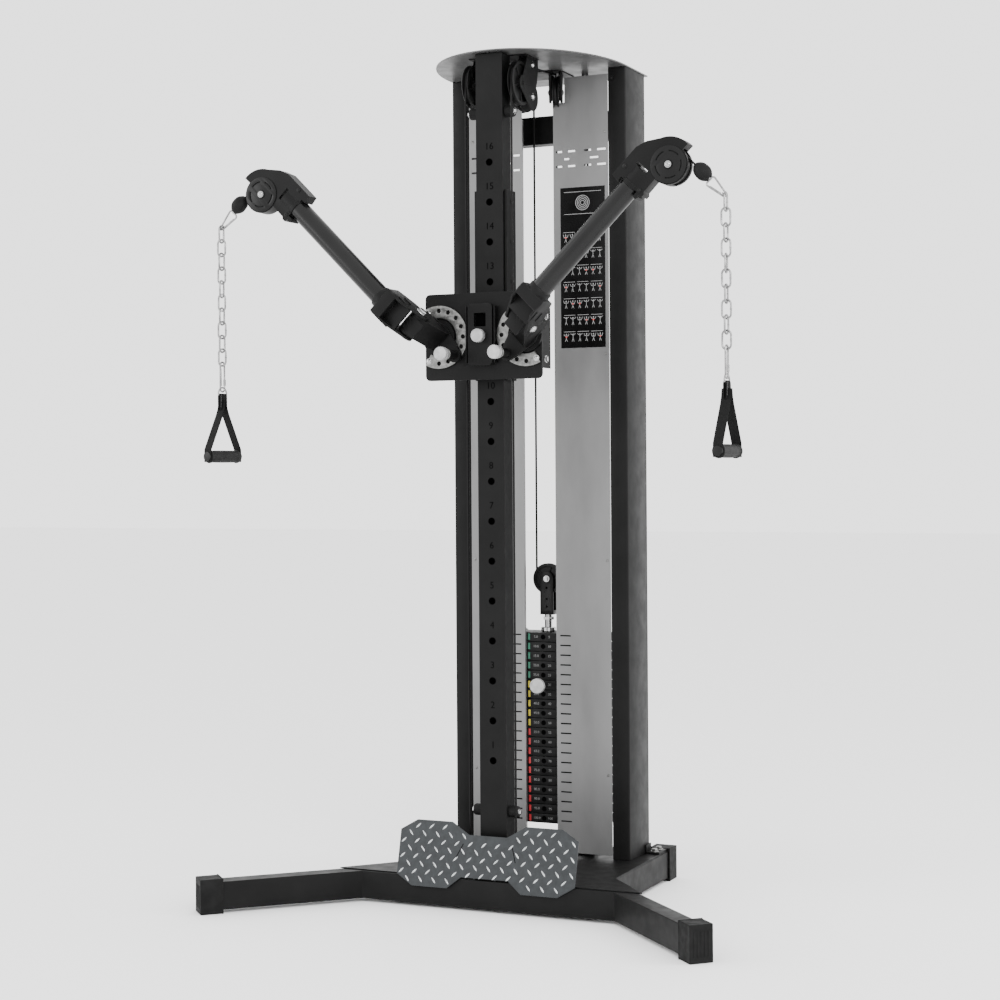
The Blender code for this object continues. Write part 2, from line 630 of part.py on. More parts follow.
# ---------------------------------------------------------------- carriage
def carriage():
    back = CARRIAGE_FRONT + CARRIAGE_T
    solid = plate(rounded_rectangle((-CARRIAGE_W / 2, CARRIAGE_W / 2), CARRIAGE_Z, 0.012),
                  (CARRIAGE_FRONT, back), normal="Y")
    half = HOUSING_W / 2
    housing = plate(rounded_rectangle((-half, half), HOUSING_Z, 0.010), (HOUSING_FRONT, back - 0.002),
                    normal="Y")
    wall = (CHANNEL_X, CHANNEL_X + CHANNEL_T)
    low, high = CARRIAGE_Z[0] + 0.006, CARRIAGE_Z[1] - 0.010
    cheek = [(CHANNEL_Y[1], CARRIAGE_Z[0]), (CHANNEL_Y[1], CHANNEL_TOP), (CHANNEL_Y[0], CHANNEL_TOP),
             (CHANNEL_Y[0], high), (back - 0.002, high), (back - 0.002, low), (CHANNEL_Y[0], low),
             (CHANNEL_Y[0], CARRIAGE_Z[0])]
    cheeks = [plate(cheek, wall, normal="X"), plate(cheek, (-wall[1], -wall[0]), normal="X")]
    inset = 0.0005
    rear = box((-wall[1] + inset, wall[1] - inset), (CHANNEL_Y[1] - 0.006, CHANNEL_Y[1] - inset),
               (CARRIAGE_Z[0] + inset, CHANNEL_TOP - inset))
    flanges = [box(x, (back - 0.002, -0.275), (1.350, 1.500)) for x in ((-0.150, -0.145), (0.145, 0.150))]
    solid = combine(solid, [housing, *cheeks, rear, *flanges])
    outside = HOUSING_FRONT - 0.01
    window = box((-WINDOW_W / 2, WINDOW_W / 2), (outside, HOUSING_FRONT + WINDOW_DEPTH), WINDOW_Z)
    bore = rod("Y", (0, 0, CARRIAGE_PIN_Z), (outside, back + 0.01), CARRIAGE_PIN_D / 2 + RUN, 16)
    return cut(solid, [window, bore])


def knob_pin(pin_d, tip, knob_back, knob_front):
    """A spring pin along Y with a round knob, about the local Z and X zero."""
    radius = KNOB_D / 2
    profile = [(0, knob_front), (radius - 0.002, knob_front), (radius, knob_front + 0.002),
               (radius, knob_back), (pin_d / 2, knob_back), (pin_d / 2, tip), (0, tip)]
    return turned(profile, "Y", (0, 0, 0), 16)


def index_disc():
    """A ring segment of index holes, about the arm's pivot, open towards the outside."""
    start, end = 180 - DISC_HALF, 180 + DISC_HALF
    outline = arc((0, 0), DISC_R, start, end, 20) + arc((0, 0), DISC_INNER, end, start, 16)
    angles = [90 + DISC_STEP * k for k in range(9)]
    holes = [circle(arc((0, 0), DISC_HOLES_R, a, a, 1)[0], 0.0055, 10) for a in angles]
    solid = plate(outline, (DISC_FRONT, CARRIAGE_FRONT - GAP), normal="Y", holes=holes)
    return moved(solid, Matrix.Translation((PIVOT_X, 0, PIVOT_Z)))


# ---------------------------------------------------------------- arm; X runs along it and Z across it
def arm_hub():
    """Turns on the carriage: boss, bar to the tilt pin, pin barrel and clevis for the swing bolt."""
    pin_u = -DISC_HOLES_R
    bar_y = (HUB_Y[1], HUB_Y[0])
    bar = arc((pin_u, 0), 0.018, 110, 250, 8) + arc((0, 0), 0.036, -110, -60, 4)
    bar += [(0.046, -CLEVIS_V), (0.046, CLEVIS_V)] + arc((0, 0), 0.036, 60, 110, 4)
    solid = plate(bar, bar_y, normal="Y")
    boss = rod("Y", (0, 0, 0), (HUB_Y[0] - 0.002, CARRIAGE_FRONT - GAP), DISC_INNER - 0.004, 28)
    barrel = rod("Y", (pin_u, 0, 0), (BARREL_Y, HUB_Y[1] + 0.002), BARREL_R, 20)
    nose = [(-0.020, HUB_Y[1] + 0.002), (-0.020, HUB_Y[1] - 0.012)] + arc(SWING, 0.020, 215, 360, 10)
    nose += [(SWING[0] + 0.020, HUB_Y[1] + 0.002)]
    clevis = plate(nose, (-CLEVIS_V, CLEVIS_V))
    solid = combine(solid, [boss, barrel, clevis])
    pin_bore = rod("Y", (pin_u, 0, 0), (BARREL_Y - 0.01, 0.0), 0.005 + RUN, 16)
    bolt_bore = rod("Z", (*SWING, 0), (-0.05, 0.05), 0.007 + RUN, 20)
    return cut(solid, [pin_bore, bolt_bore])


def arm():
    """Fork, collar and tube, with the swing bolt; X and Y are measured from the arm's tilt axis."""
    ear = arc(SWING, 0.026, 90, 250, 10) + [(0.075, -0.513), (0.112, -0.513), (0.112, -0.457)]
    ears = [plate(ear, EAR_V), plate(ear, (-EAR_V[1], -EAR_V[0]))]
    collar = box((0.092, 0.124), (ARM_Y - 0.029, ARM_Y + 0.029), (-EAR_V[1], EAR_V[1]))
    tube = rod("X", (0, ARM_Y, 0), ARM_U, ARM_D / 2, 24)
    bolt = rod("Z", (*SWING, 0), (-0.043, 0.043), 0.007, 20)
    heads = [rod("Z", (*SWING, 0), span, 0.011, 20) for span in ((0.036, 0.043), (-0.043, -0.036))]
    solid = combine(collar, [tube, *ears, bolt, *heads])
    return cut(solid, [rod("X", (0, ARM_Y, 0), (0.110, ARM_U[1] + 0.01), ARM_D / 2 - ARM_WALL, 24)])


def head():
    """Pulley housing with a curved guard, open where the cable leaves it."""
    u, v = HEAD_WHEEL
    shell = arc(HEAD_WHEEL, GUARD_R, -2, 62, 10) + list(GUARD_BACK) + list(CLAMP_TEETH)
    shell += arc(HEAD_WHEEL, HEAD_DISC_R, 178, 358, 20)
    solid = plate(shell, (ARM_Y - HEAD_HALF, ARM_Y + HEAD_HALF), normal="Y")
    neck = rod("X", (0, ARM_Y, 0), (ARM_U[1] + GAP, NECK_END), ARM_D / 2, 24)
    spigot = rod("X", (0, ARM_Y, 0), (ARM_U[1] - 0.040, 0.470), ARM_D / 2 - ARM_WALL - RUN, 24)
    solid = combine(solid, [neck, spigot])
    slot_y = (ARM_Y - HEAD_SLOT, ARM_Y + HEAD_SLOT)
    slot = plate(circle(HEAD_WHEEL, HEAD_RIM + 0.002, 20), slot_y, normal="Y")
    mouth = box((u, u + 0.050), slot_y, (v - 0.060, v + 0.008))
    chin = box((u - 0.03, u + 0.050), slot_y, (v - 0.060, v - 0.036))
    window = plate(rectangle(*HEAD_WINDOW), (ARM_Y - 0.03, ARM_Y + 0.03), normal="Y")
    solid = cut(solid, [slot, mouth, chin, window])
    reach = HEAD_HALF + 0.005
    return combine(solid, [rod("Y", (u, 0, v), (ARM_Y - reach, ARM_Y + reach), AXLE_D / 2, 16)])


def ball_stop():
    """Rubber stop on the cable's end. Local -Z runs along the cable, away from the pulley."""
    half, neck, start = BALL_L / 2, 0.009, -0.061 - BALL_V
    profile = [(0, start), (CABLE_D / 2, start), (CABLE_D / 2, half)]
    profile += [(neck, half), (0.015, half - 0.006), (BALL_R, half - 0.016), (BALL_R, -half + 0.018),
                (0.014, -half + 0.005), (neck, -half), (0, -half)]
    return turned(profile, "Z", (HEAD_WHEEL[0] + HEAD_PITCH, ARM_Y, BALL_V), 20)


def stadium(half_width, low, high, steps=4):
    """Centre line of a long link in the XZ plane."""
    ring = arc((0, high - half_width), half_width, 0, 180, steps)
    ring += arc((0, low + half_width), half_width, 180, 360, steps)
    return [(x, 0, z) for x, z in ring]


def carabiner():
    low, high = CARABINER_V[1], CARABINER_V[0]
    loop = wire(stadium(0.0085, low + LINK_WIRE / 2, high - LINK_WIRE / 2), LINK_WIRE, cyclic=True)
    return moved(loop, Matrix.Translation((HANG[0], ARM_Y, 0)))


def shackle():
    """Small link that carries the chain, across the carabiner's end."""
    ring = circle((0, 0), 0.0065, 10)
    loop = wire([(0, y, z) for y, z in ring], 0.0030, cyclic=True)
    return moved(loop, Matrix.Translation((0, 0, 0.0035)))


def chain():
    """Space that the hanging chain takes, below its top link."""
    low, high = -CHAIN_DROP[1], -CHAIN_DROP[0]
    return box((-0.008, 0.008), (-0.008, 0.008), (low, high))


def handle_strap():
    """Hook, webbing and the two straps that hold the grip's core rod; Z = 0 is the top."""
    hook = box((-0.006, 0.006), (-0.004, 0.004), (-HOOK_L, 0))
    top = -HOOK_L + 0.004
    web_end = top - WEB_L
    web = box((-WEB_W / 2, WEB_W / 2), (-0.0045, 0.0045), (web_end, top))
    rod_z = web_end - STRAP_L + GRIP_D / 2
    pieces = [web]
    for sign in (-1, 1):
        outer = [(sign * 0.006, web_end + 0.004), (sign * 0.0125, web_end + 0.004),
                 (sign * STRAP_HALF, rod_z + 0.020), (sign * STRAP_HALF, rod_z - 0.014),
                 (sign * (STRAP_HALF - WEB_T), rod_z - 0.014), (sign * (STRAP_HALF - WEB_T), rod_z + 0.0195)]
        pieces.append(plate(outer, (-WEB_W / 2, WEB_W / 2), normal="Y"))
    reach = STRAP_HALF + 0.002
    pieces.append(rod("X", (0, 0, rod_z), (-reach, reach), CORE_D / 2, 16))
    return combine(hook, pieces)


def grip_z():
    return -HOOK_L + 0.004 - WEB_L - STRAP_L + GRIP_D / 2


def grip():
    half = GRIP_L / 2
    bore = CORE_D / 2 + RUN
    profile = [(bore, half), (GRIP_D / 2 + 0.002, half), (GRIP_D / 2 + 0.002, half - 0.004),
               (GRIP_D / 2 - 0.001, half - 0.010), (GRIP_D / 2 + 0.001, 0)]
    profile += [(r, -h) for r, h in reversed(profile[:-1])]
    return turned(profile, "X", (0, 0, 0), 16, ring=True)


# ---------------------------------------------------------------- assembly
def build_frame(datum):
    add("front_base", front_base(), "frame_black", datum)
    add("rear_base", rear_base(), "frame_black", datum)
    add("base_plate", base_plate(), "frame_black", datum)
    add("centre_post", centre_post(), "frame_black", datum)
    add("top_plate", top_plate(), "frame_black", datum)
    add("rear_crossbar", rear_crossbar(), "frame_black", datum)
    add("footplate", footplate(), "tread_plate", datum)
    add("exercise_board", exercise_board(), "board_black", datum)
    add("lower_bumpers", bumper_pair(BUMPER_Z[0]), "rubber_black", datum)
    add("upper_bumpers", bumper_pair(BUMPER_Z[1]), "rubber_black", datum)
    add("guide_rods", guide_rods(), "chrome", datum)
    bottom_count = PLATE_COUNT - LIFTED
    add("resting_weights", weight_block(STACK_BOTTOM, bottom_count), "cast_black", datum)
    add("rear_pulley_bracket", rear_pulley_bracket(), "frame_black", datum)
    add("front_pulley_bracket", front_pulley_bracket(), "frame_black", datum)


def build_frame_side(side, datum):
    front_cap = side.pivot("front_cap_place", datum, (*LEG_END, 0), (0, 0, LEG_TURN))
    rear_cap = side.pivot("rear_cap_place", datum, (RAIL_OUT - TUBE_W / 2, REAR_END, 0), (0, 0, math.pi / 2))
    side.add("front_cap", foot_cap(), "rubber_black", front_cap)
    side.add("rear_cap", foot_cap(), "rubber_black", rear_cap)
    side.add("upright", upright(), "frame_black", datum)
    side.add("panel", side_panel(), "panel_grey", datum)
    side.add("fixed_cable", fixed_cable(), "cable_black", datum)
    side.add("stack_cable", stack_cable(), "cable_black", datum)
    rear = side.pivot("rear_pulley_axis", datum, REAR_WHEEL, (0, 0, REAR_TOE))
    side.add("rear_pulley", pulley(REAR_RIM, REAR_PITCH, AXLE_D / 2 + RUN), "pulley_black", rear)
    front = side.pivot("front_pulley_axis", datum, FRONT_WHEEL)
    side.add("front_pulley", pulley(FRONT_RIM, FRONT_PITCH, AXLE_D / 2 + RUN), "pulley_black", front)


def build_lift(datum):
    lift = pivot("weight_lift", datum)
    add("lifted_weights", lifted_weights(), "cast_black", lift)
    add("lift_yoke", lift_yoke(), "chrome", lift)
    add("selector_pin", selector_pin(), "chrome", pivot("selector_slide", lift))
    axle = pivot("floating_pulley_axis", lift, (0, STACK_Y, FLOAT_Z))
    add("floating_pulley", pulley(FLOAT_RIM, FLOAT_PITCH, AXLE_D / 2 + RUN, axis="Y"), "pulley_black", axle)


def build_carriage(datum):
    slide = pivot("carriage_slide", datum)
    add("carriage", carriage(), "frame_black", slide)
    pin = pivot("carriage_pin_axis", slide, (0, 0, CARRIAGE_PIN_Z))
    tip = POST_FRONT - 0.0005
    add("carriage_pin", knob_pin(CARRIAGE_PIN_D, tip, -0.372, -0.390), "zinc_plate", pin)
    return slide


def build_arm(side, slide):
    side.add("index_disc", index_disc(), "zinc_plate", slide)
    tilt = side.pivot("arm_tilt", slide, (PIVOT_X, 0, PIVOT_Z), (0, -ARM_RISE, 0))
    side.add("arm_hub", arm_hub(), "frame_black", tilt)
    pin = side.pivot("tilt_pin_axis", tilt, (-DISC_HOLES_R, 0, 0))
    side.add("tilt_pin", knob_pin(0.010, DISC_FRONT - 0.0005, -0.430, -0.450), "zinc_plate", pin)
    swing = side.pivot("arm_swing", tilt, (*SWING, 0))
    back = Matrix.Translation((-SWING[0], -SWING[1], 0))
    side.add("arm", moved(arm(), back), "frame_black", swing)
    swivel = side.pivot("head_swivel", swing, (-SWING[0], ARM_Y - SWING[1], 0))
    to_axis = Matrix.Translation((0, -ARM_Y, 0))
    side.add("head", moved(head(), to_axis), "frame_black", swivel)
    axle = side.pivot("head_pulley_axis", swivel, (HEAD_WHEEL[0], 0, HEAD_WHEEL[1]))
    side.add("head_pulley", pulley(HEAD_RIM, HEAD_PITCH, AXLE_D / 2 + RUN, axis="Y"), "pulley_black", axle)
    build_handle(side, swivel, to_axis)


def build_handle(side, swivel, to_axis):
    pull = side.pivot("handle_pull", swivel)
    side.add("ball_stop", moved(ball_stop(), to_axis), "rubber_black", pull)
    eye = side.pivot("carabiner_turn", pull, (HANG[0], 0, CARABINER_V[0]))
    centred = Matrix.Translation((-HANG[0], 0, -CARABINER_V[0])) @ to_axis
    side.add("carabiner", moved(carabiner(), centred), "zinc_plate", eye)
    sway = side.pivot("shackle_sway", eye, (0, 0, HANG[1] - CARABINER_V[0]))
    side.add("shackle", shackle(), "zinc_plate", sway)
    hang = side.pivot("chain_hang", sway, (0, 0, 0), (0, ARM_RISE, 0))
    side.add("chain", chain(), "zinc_plate", hang)
    handle = side.pivot("handle_swing", hang, (0, 0, -STRAP_DROP))
    handle.rotation_euler.z = HANDLE_TURN[side.name]
    side.add("handle_strap", handle_strap(), "webbing_black", handle)
    core = side.pivot("grip_axis", handle, (0, 0, grip_z()))
    side.add("grip", grip(), "rubber_black", core)


clear_scene()
PARTS = make_collection("cable_crossover_machine")
CUTTERS = make_collection("cutters")
DATUM = pivot("datum", None, (0, DATUM_Y, 0))
build_frame(DATUM)
build_lift(DATUM)
SLIDE = build_carriage(DATUM)
for SIDE in (Side("left"), Side("right")):
    build_frame_side(SIDE, DATUM)
    build_arm(SIDE, SLIDE)
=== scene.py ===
import math

import bmesh
import bpy
from mathutils import Matrix, Vector


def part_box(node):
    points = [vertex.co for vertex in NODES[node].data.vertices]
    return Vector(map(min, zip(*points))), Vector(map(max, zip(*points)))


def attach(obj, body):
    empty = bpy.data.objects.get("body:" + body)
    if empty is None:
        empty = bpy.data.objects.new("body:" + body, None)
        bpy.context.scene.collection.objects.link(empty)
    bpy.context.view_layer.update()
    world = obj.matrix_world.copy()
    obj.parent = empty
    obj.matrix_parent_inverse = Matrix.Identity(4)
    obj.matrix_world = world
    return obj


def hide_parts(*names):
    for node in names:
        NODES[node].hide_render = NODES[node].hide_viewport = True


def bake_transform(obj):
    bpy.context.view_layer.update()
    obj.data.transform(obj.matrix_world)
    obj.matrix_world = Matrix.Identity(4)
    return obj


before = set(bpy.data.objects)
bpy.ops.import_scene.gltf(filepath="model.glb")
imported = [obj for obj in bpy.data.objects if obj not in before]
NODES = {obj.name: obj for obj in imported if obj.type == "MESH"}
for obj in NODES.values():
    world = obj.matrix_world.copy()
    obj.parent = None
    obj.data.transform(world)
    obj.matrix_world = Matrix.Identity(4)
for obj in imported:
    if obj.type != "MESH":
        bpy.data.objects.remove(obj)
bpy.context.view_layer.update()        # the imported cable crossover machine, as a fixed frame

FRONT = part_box("right_upright")[0].y        # front faces of the uprights
SIDES = ("left", "right")
SIGNS = (-1, 1)
PLATE_FRONT = FRONT - 0.3513                # face of the carriage's plate behind the index discs
DISC_FRONT = FRONT - 0.3573
ARM_X, ARM_Z = 0.119, 1.432                 # each arm's tilt axis
ARM_LEAN = -45                              # degrees from level to the arm at rest
ARM_Y = -0.485                              # middle of the arm tube, from FRONT
WHEEL_U, WHEEL_V = 0.5597, -0.041           # head wheel's centre, along and across the arm
LINK_U = 0.597                              # where the carabiner hangs, along the arm
INDEX_R = 0.066                             # circle of the index holes
SWING_AXIS = (0.043, -0.445)
STACK_Y = FRONT + 0.055                     # middle of the weight stack
FLOAT_Z, FLOAT_PITCH = 0.808, 0.033         # floating pulley
REAR_TOE, REAR_PITCH = 20.9, 0.0428         # rear top pulleys: turn in degrees, cable circle
CABLE_R = 0.0027
HANDLE_TURN = {"left": 76, "right": 84}     # degrees from the machine's face to the grip
POST_HOLES, HOLE_Z, HOLE_STEP = 16, 0.370, 0.100


# ---------------------------------------------------------------- materials
def new_material(name):
    """An empty material, with its node tree and its shader."""
    material = bpy.data.materials.new(name)
    material.use_nodes = True
    tree = material.node_tree
    return material, tree, tree.nodes["Principled BSDF"]


def multiplied(tree, a, b):
    """The product of two outputs."""
    node = tree.nodes.new("ShaderNodeMath")
    node.operation = "MULTIPLY"
    tree.links.new(a, node.inputs[0])
    tree.links.new(b, node.inputs[1])
    return node.outputs["Value"]


def noise(tree, scale, detail=4.0, roughness=0.5, stretch=(1, 1, 1)):
    """Noise over the object's own coordinates, stretched along its axes."""
    place = tree.nodes.new("ShaderNodeTexCoord")
    mapping = tree.nodes.new("ShaderNodeMapping")
    mapping.inputs["Scale"].default_value = stretch
    texture = tree.nodes.new("ShaderNodeTexNoise")
    texture.inputs["Scale"].default_value = scale
    texture.inputs["Detail"].default_value = detail
    texture.inputs["Roughness"].default_value = roughness
    tree.links.new(place.outputs["Object"], mapping.inputs["Vector"])
    tree.links.new(mapping.outputs["Vector"], texture.inputs["Vector"])
    return texture.outputs["Fac"]


def ramp(tree, factor, low, high, start=0.35, end=0.65):
    """Maps a factor onto two values or two colours."""
    steps = tree.nodes.new("ShaderNodeValToRGB")
    colours = [(*c, 1.0) if hasattr(c, "__len__") else (c, c, c, 1.0) for c in (low, high)]
    for element, place, colour in zip(steps.color_ramp.elements, (start, end), colours):
        element.position = place
        element.color = colour
    tree.links.new(factor, steps.inputs["Fac"])
    return steps.outputs["Color"]


def bump(tree, shader, height, strength, distance):
    node = tree.nodes.new("ShaderNodeBump")
    node.inputs["Strength"].default_value = strength
    node.inputs["Distance"].default_value = distance
    tree.links.new(height, node.inputs["Height"])
    tree.links.new(node.outputs["Normal"], shader.inputs["Normal"])


def worn_edges(tree, colour, bare, amount):
    """Blends in a bare grey along the edges, found from how far a slightly rounded normal turns."""
    bevel = tree.nodes.new("ShaderNodeBevel")
    bevel.samples = 4
    bevel.inputs["Radius"].default_value = 0.0012
    geometry = tree.nodes.new("ShaderNodeNewGeometry")
    dot = tree.nodes.new("ShaderNodeVectorMath")
    dot.operation = "DOT_PRODUCT"
    tree.links.new(bevel.outputs["Normal"], dot.inputs[0])
    tree.links.new(geometry.outputs["Normal"], dot.inputs[1])
    edge = ramp(tree, dot.outputs["Value"], 1.0, 0.0, 0.90, 0.99)
    spots = ramp(tree, noise(tree, 55.0, 6.0), 0.0, 1.0, 0.45, 0.62)
    less = tree.nodes.new("ShaderNodeMath")
    less.operation = "MULTIPLY"
    less.inputs[1].default_value = amount
    tree.links.new(multiplied(tree, edge, spots), less.inputs[0])
    mix = tree.nodes.new("ShaderNodeMix")
    mix.data_type = "RGBA"
    tree.links.new(less.outputs["Value"], mix.inputs["Factor"])
    tree.links.new(colour, mix.inputs["A"])
    mix.inputs["B"].default_value = (bare, bare, bare, 1.0)
    return mix.outputs["Result"]


INK_GRAIN = (900.0, 0.05, 0.0001)


def surface(name, colours, rough, metallic=0.0, grain=(900.0, 0.06, 0.0002), patches=9.0, gloss=0.5,
            edge=None, stretch=(1, 1, 1)):
    """A material whose colour (or grey) and roughness vary over patches, with a fine grain in the bump."""
    material, tree, shader = new_material(name)
    colour = ramp(tree, noise(tree, patches, 5.0, 0.6, stretch), *colours)
    if edge:
        colour = worn_edges(tree, colour, *edge)
    tree.links.new(colour, shader.inputs["Base Color"])
    dull = ramp(tree, noise(tree, patches * 3, 4.0, 0.55, stretch), *rough)
    tree.links.new(dull, shader.inputs["Roughness"])
    shader.inputs["Metallic"].default_value = metallic
    shader.inputs["Specular IOR Level"].default_value = gloss
    bump(tree, shader, noise(tree, grain[0], 3.0, 0.6, stretch), grain[1], grain[2])
    return material


def woven(name, colours):
    """Nylon webbing: two crossed sets of ribs."""
    material, tree, shader = new_material(name)
    place = tree.nodes.new("ShaderNodeTexCoord")
    waves = []
    for direction, scale in (("X", 110.0), ("Z", 160.0)):
        wave = tree.nodes.new("ShaderNodeTexWave")
        wave.bands_direction = direction
        wave.inputs["Scale"].default_value = scale
        wave.inputs["Distortion"].default_value = 0.6
        tree.links.new(place.outputs["Object"], wave.inputs["Vector"])
        waves.append(wave.outputs["Fac"])
    ribs = multiplied(tree, *waves)
    tree.links.new(ramp(tree, ribs, *colours, 0.1, 0.7), shader.inputs["Base Color"])
    tree.links.new(ramp(tree, noise(tree, 200.0), 0.75, 0.90), shader.inputs["Roughness"])
    shader.inputs["Specular IOR Level"].default_value = 0.15
    bump(tree, shader, ribs, 0.6, 0.0006)
    return material


MATERIALS = {
    "frame": surface("powder_black", (0.0024, 0.0042), (0.44, 0.54), gloss=0.12, grain=(700.0, 0.10, 0.0002),
                     edge=(0.05, 0.5)),
    "tube": surface("powder_tube", (0.0028, 0.0045), (0.24, 0.32), gloss=0.22, grain=(700.0, 0.06, 0.0002)),
    "top": surface("powder_top", (0.045, 0.065), (0.34, 0.44), gloss=0.30, grain=(700.0, 0.06, 0.0002)),
    "panel": surface("panel_silver", (0.135, 0.175), (0.34, 0.46), 0.5, (1100.0, 0.12, 0.00015), 5.0,
                     stretch=(1, 1, 0.35)),
    "zinc": surface("zinc_plate", ((0.12, 0.12, 0.117), (0.21, 0.21, 0.205)), (0.30, 0.50), 0.85,
                    (420.0, 0.30, 0.0003), 120.0),
    "chain": surface("chain_zinc", (0.16, 0.32), (0.16, 0.30), 0.95, (300.0, 0.15, 0.0002), 70.0),
    "knob": surface("knob_silver", (0.30, 0.42), (0.38, 0.52), 0.45, (900.0, 0.15, 0.0002), 60.0),
    "chrome": surface("chrome", (0.36, 0.46), (0.08, 0.18), 1.0, (300.0, 0.02, 0.0001)),
    "rubber": surface("rubber_black", (0.0030, 0.0055), (0.62, 0.80), 0.0, (1200.0, 0.25, 0.0003), 20.0, 0.14),
    "grip": surface("grip_rubber", (0.0060, 0.0110), (0.50, 0.66), 0.0, (800.0, 0.35, 0.0004), 30.0, 0.2),
    "board": surface("board_gloss", (0.0020, 0.0032), (0.22, 0.30), gloss=0.12, grain=(200.0, 0.02, 0.0001)),
    "ink_white": surface("ink_white", (0.20, 0.28), (0.40, 0.55), grain=INK_GRAIN),
    "ink_grey": surface("ink_grey", (0.10, 0.15), (0.40, 0.55), grain=INK_GRAIN),
    "ink_red": surface("ink_red", ((0.40, 0.03, 0.03), (0.52, 0.05, 0.04)), (0.40, 0.55), grain=INK_GRAIN),
    # near-black ink for print, also used as painted shade: the discs in the weights' pin holes, the rings in
    # the post's holes and the sheet behind the carriage window
    "ink_and_shade_black": surface("ink_and_shade_black", (0.0004, 0.0008), (0.75, 0.90), gloss=0.02, grain=INK_GRAIN),
    "tread": surface("tread_dark", ((0.011, 0.013, 0.0145), (0.018, 0.021, 0.023)), (0.40, 0.55), 0.35,
                     (500.0, 0.30, 0.0004), 60.0),
    "lozenge": surface("tread_bright", ((0.34, 0.355, 0.36), (0.50, 0.515, 0.52)), (0.20, 0.34), 0.7,
                       (600.0, 0.15, 0.0002), 90.0),
    "cast": surface("cast_black", (0.0026, 0.0052), (0.42, 0.60), 0.0, (260.0, 0.40, 0.0005), 30.0, 0.14,
                    edge=(0.05, 0.6)),
    "cable": surface("cable_black", (0.0014, 0.0025), (0.34, 0.46), gloss=0.10, grain=(600.0, 0.06, 0.0001)),
    "nylon": surface("nylon_black", (0.0022, 0.0044), (0.28, 0.42), gloss=0.18, grain=(400.0, 0.08, 0.0002)),
    "label_green": surface("label_green", ((0.008, 0.085, 0.050), (0.012, 0.120, 0.070)), (0.4, 0.5)),
    "label_yellow": surface("label_yellow", ((0.32, 0.26, 0.008), (0.42, 0.34, 0.015)), (0.4, 0.5)),
    "label_red": surface("label_red", ((0.30, 0.006, 0.012), (0.38, 0.012, 0.018)), (0.4, 0.5)),
    "webbing": woven("webbing_black", (0.0020, 0.0075)),
}


# ---------------------------------------------------------------- mesh tools
def kept_mesh(bm):
    """The mesh as it stands, with its normals as they are."""
    mesh = bpy.data.meshes.new("piece")
    bm.to_mesh(mesh)
    bm.free()
    return mesh


def to_mesh(bm):
    """The mesh with its faces turned outwards."""
    bmesh.ops.recalc_face_normals(bm, faces=bm.faces[:])
    return kept_mesh(bm)


def merged(meshes):
    """One mesh that holds several separate closed bodies."""
    bm = bmesh.new()
    for mesh in meshes:
        bm.from_mesh(mesh)
    return kept_mesh(bm)


def moved(mesh, matrix):
    """A moved or mirrored copy, still facing out."""
    copy = mesh.copy()
    copy.transform(matrix)
    if matrix.determinant() < 0:
        copy.flip_normals()
    return copy


def at(x=0.0, y=0.0, z=0.0):
    return Matrix.Translation((x, y, z))


def block(x, y, z, bevel=0.0, segments=2):
    """A box between corners, with rounded edges."""
    bm = bmesh.new()
    bmesh.ops.create_cube(bm, size=1.0)
    bmesh.ops.scale(bm, vec=Vector((x[1] - x[0], y[1] - y[0], z[1] - z[0])), verts=bm.verts[:])
    bmesh.ops.translate(bm, vec=Vector((x[1] + x[0], y[1] + y[0], z[1] + z[0])) / 2, verts=bm.verts[:])
    if bevel:
        bmesh.ops.bevel(bm, geom=bm.edges[:], offset=bevel, segments=segments, profile=0.6, affect="EDGES")
    return to_mesh(bm)


AXES = {
    "X": Matrix.Rotation(math.pi / 2, 4, "Y"),
    "Y": Matrix.Rotation(-math.pi / 2, 4, "X"),
    "Z": Matrix.Identity(4),
}


def turned(profile, axis="Z", sides=48, ring=False, flutes=0, flute=0.0):
    """A profile of (radius, height) turned about an axis; flutes press that many hollows into the rim."""
    bm = bmesh.new()
    loops = []
    rim = max(r for r, _ in profile)
    for r, z in profile:
        if r < 1e-7:
            loops.append([bm.verts.new((0, 0, z))])
            continue
        loop = []
        for i in range(sides):
            a = 2 * math.pi * i / sides
            depth = flute * (0.5 + 0.5 * math.cos(flutes * a)) if flutes and r > rim * 0.93 else 0.0
            loop.append(bm.verts.new(((r - depth) * math.cos(a), (r - depth) * math.sin(a), z)))
        loops.append(loop)
    pairs = list(zip(loops, loops[1:]))
    if ring:
        pairs.append((loops[-1], loops[0]))
    for a, b in pairs:
        for i in range(sides):
            j = (i + 1) % sides
            corners = [a[i % len(a)], a[j % len(a)], b[j % len(b)], b[i % len(b)]]
            bm.faces.new(list(dict.fromkeys(corners)))
    bm.transform(AXES[axis])
    return to_mesh(bm)


def rod(radius, low, high, axis="Z", bevel=0.0006, sides=40):
    """A round bar with rounded ends."""
    profile = [(0, low), (radius - bevel, low), (radius, low + bevel), (radius, high - bevel),
               (radius - bevel, high), (0, high)]
    return turned(profile, axis, sides)


def from_curve(curve):
    """The mesh that a curve makes, with its seams joined."""
    thing = bpy.data.objects.new("curve", curve)
    bpy.context.scene.collection.objects.link(thing)
    graph = bpy.context.evaluated_depsgraph_get()
    mesh = bpy.data.meshes.new_from_object(thing.evaluated_get(graph))
    bpy.data.objects.remove(thing, do_unlink=True)
    bm = bmesh.new()
    bm.from_mesh(mesh)
    bmesh.ops.remove_doubles(bm, verts=bm.verts[:], dist=0.000005)
    return to_mesh(bm)


def tube(points, radius, cyclic=False, resolution=4):
    """A tube along the points."""
    curve = bpy.data.curves.new("tube", "CURVE")
    curve.dimensions = "3D"
    curve.bevel_depth = radius
    curve.bevel_resolution = resolution
    curve.use_fill_caps = not cyclic
    spline = curve.splines.new("POLY")
    spline.points.add(len(points) - 1)
    for point, place in zip(spline.points, points):
        point.co = (*place, 1.0)
    spline.use_cyclic_u = cyclic
    return from_curve(curve)


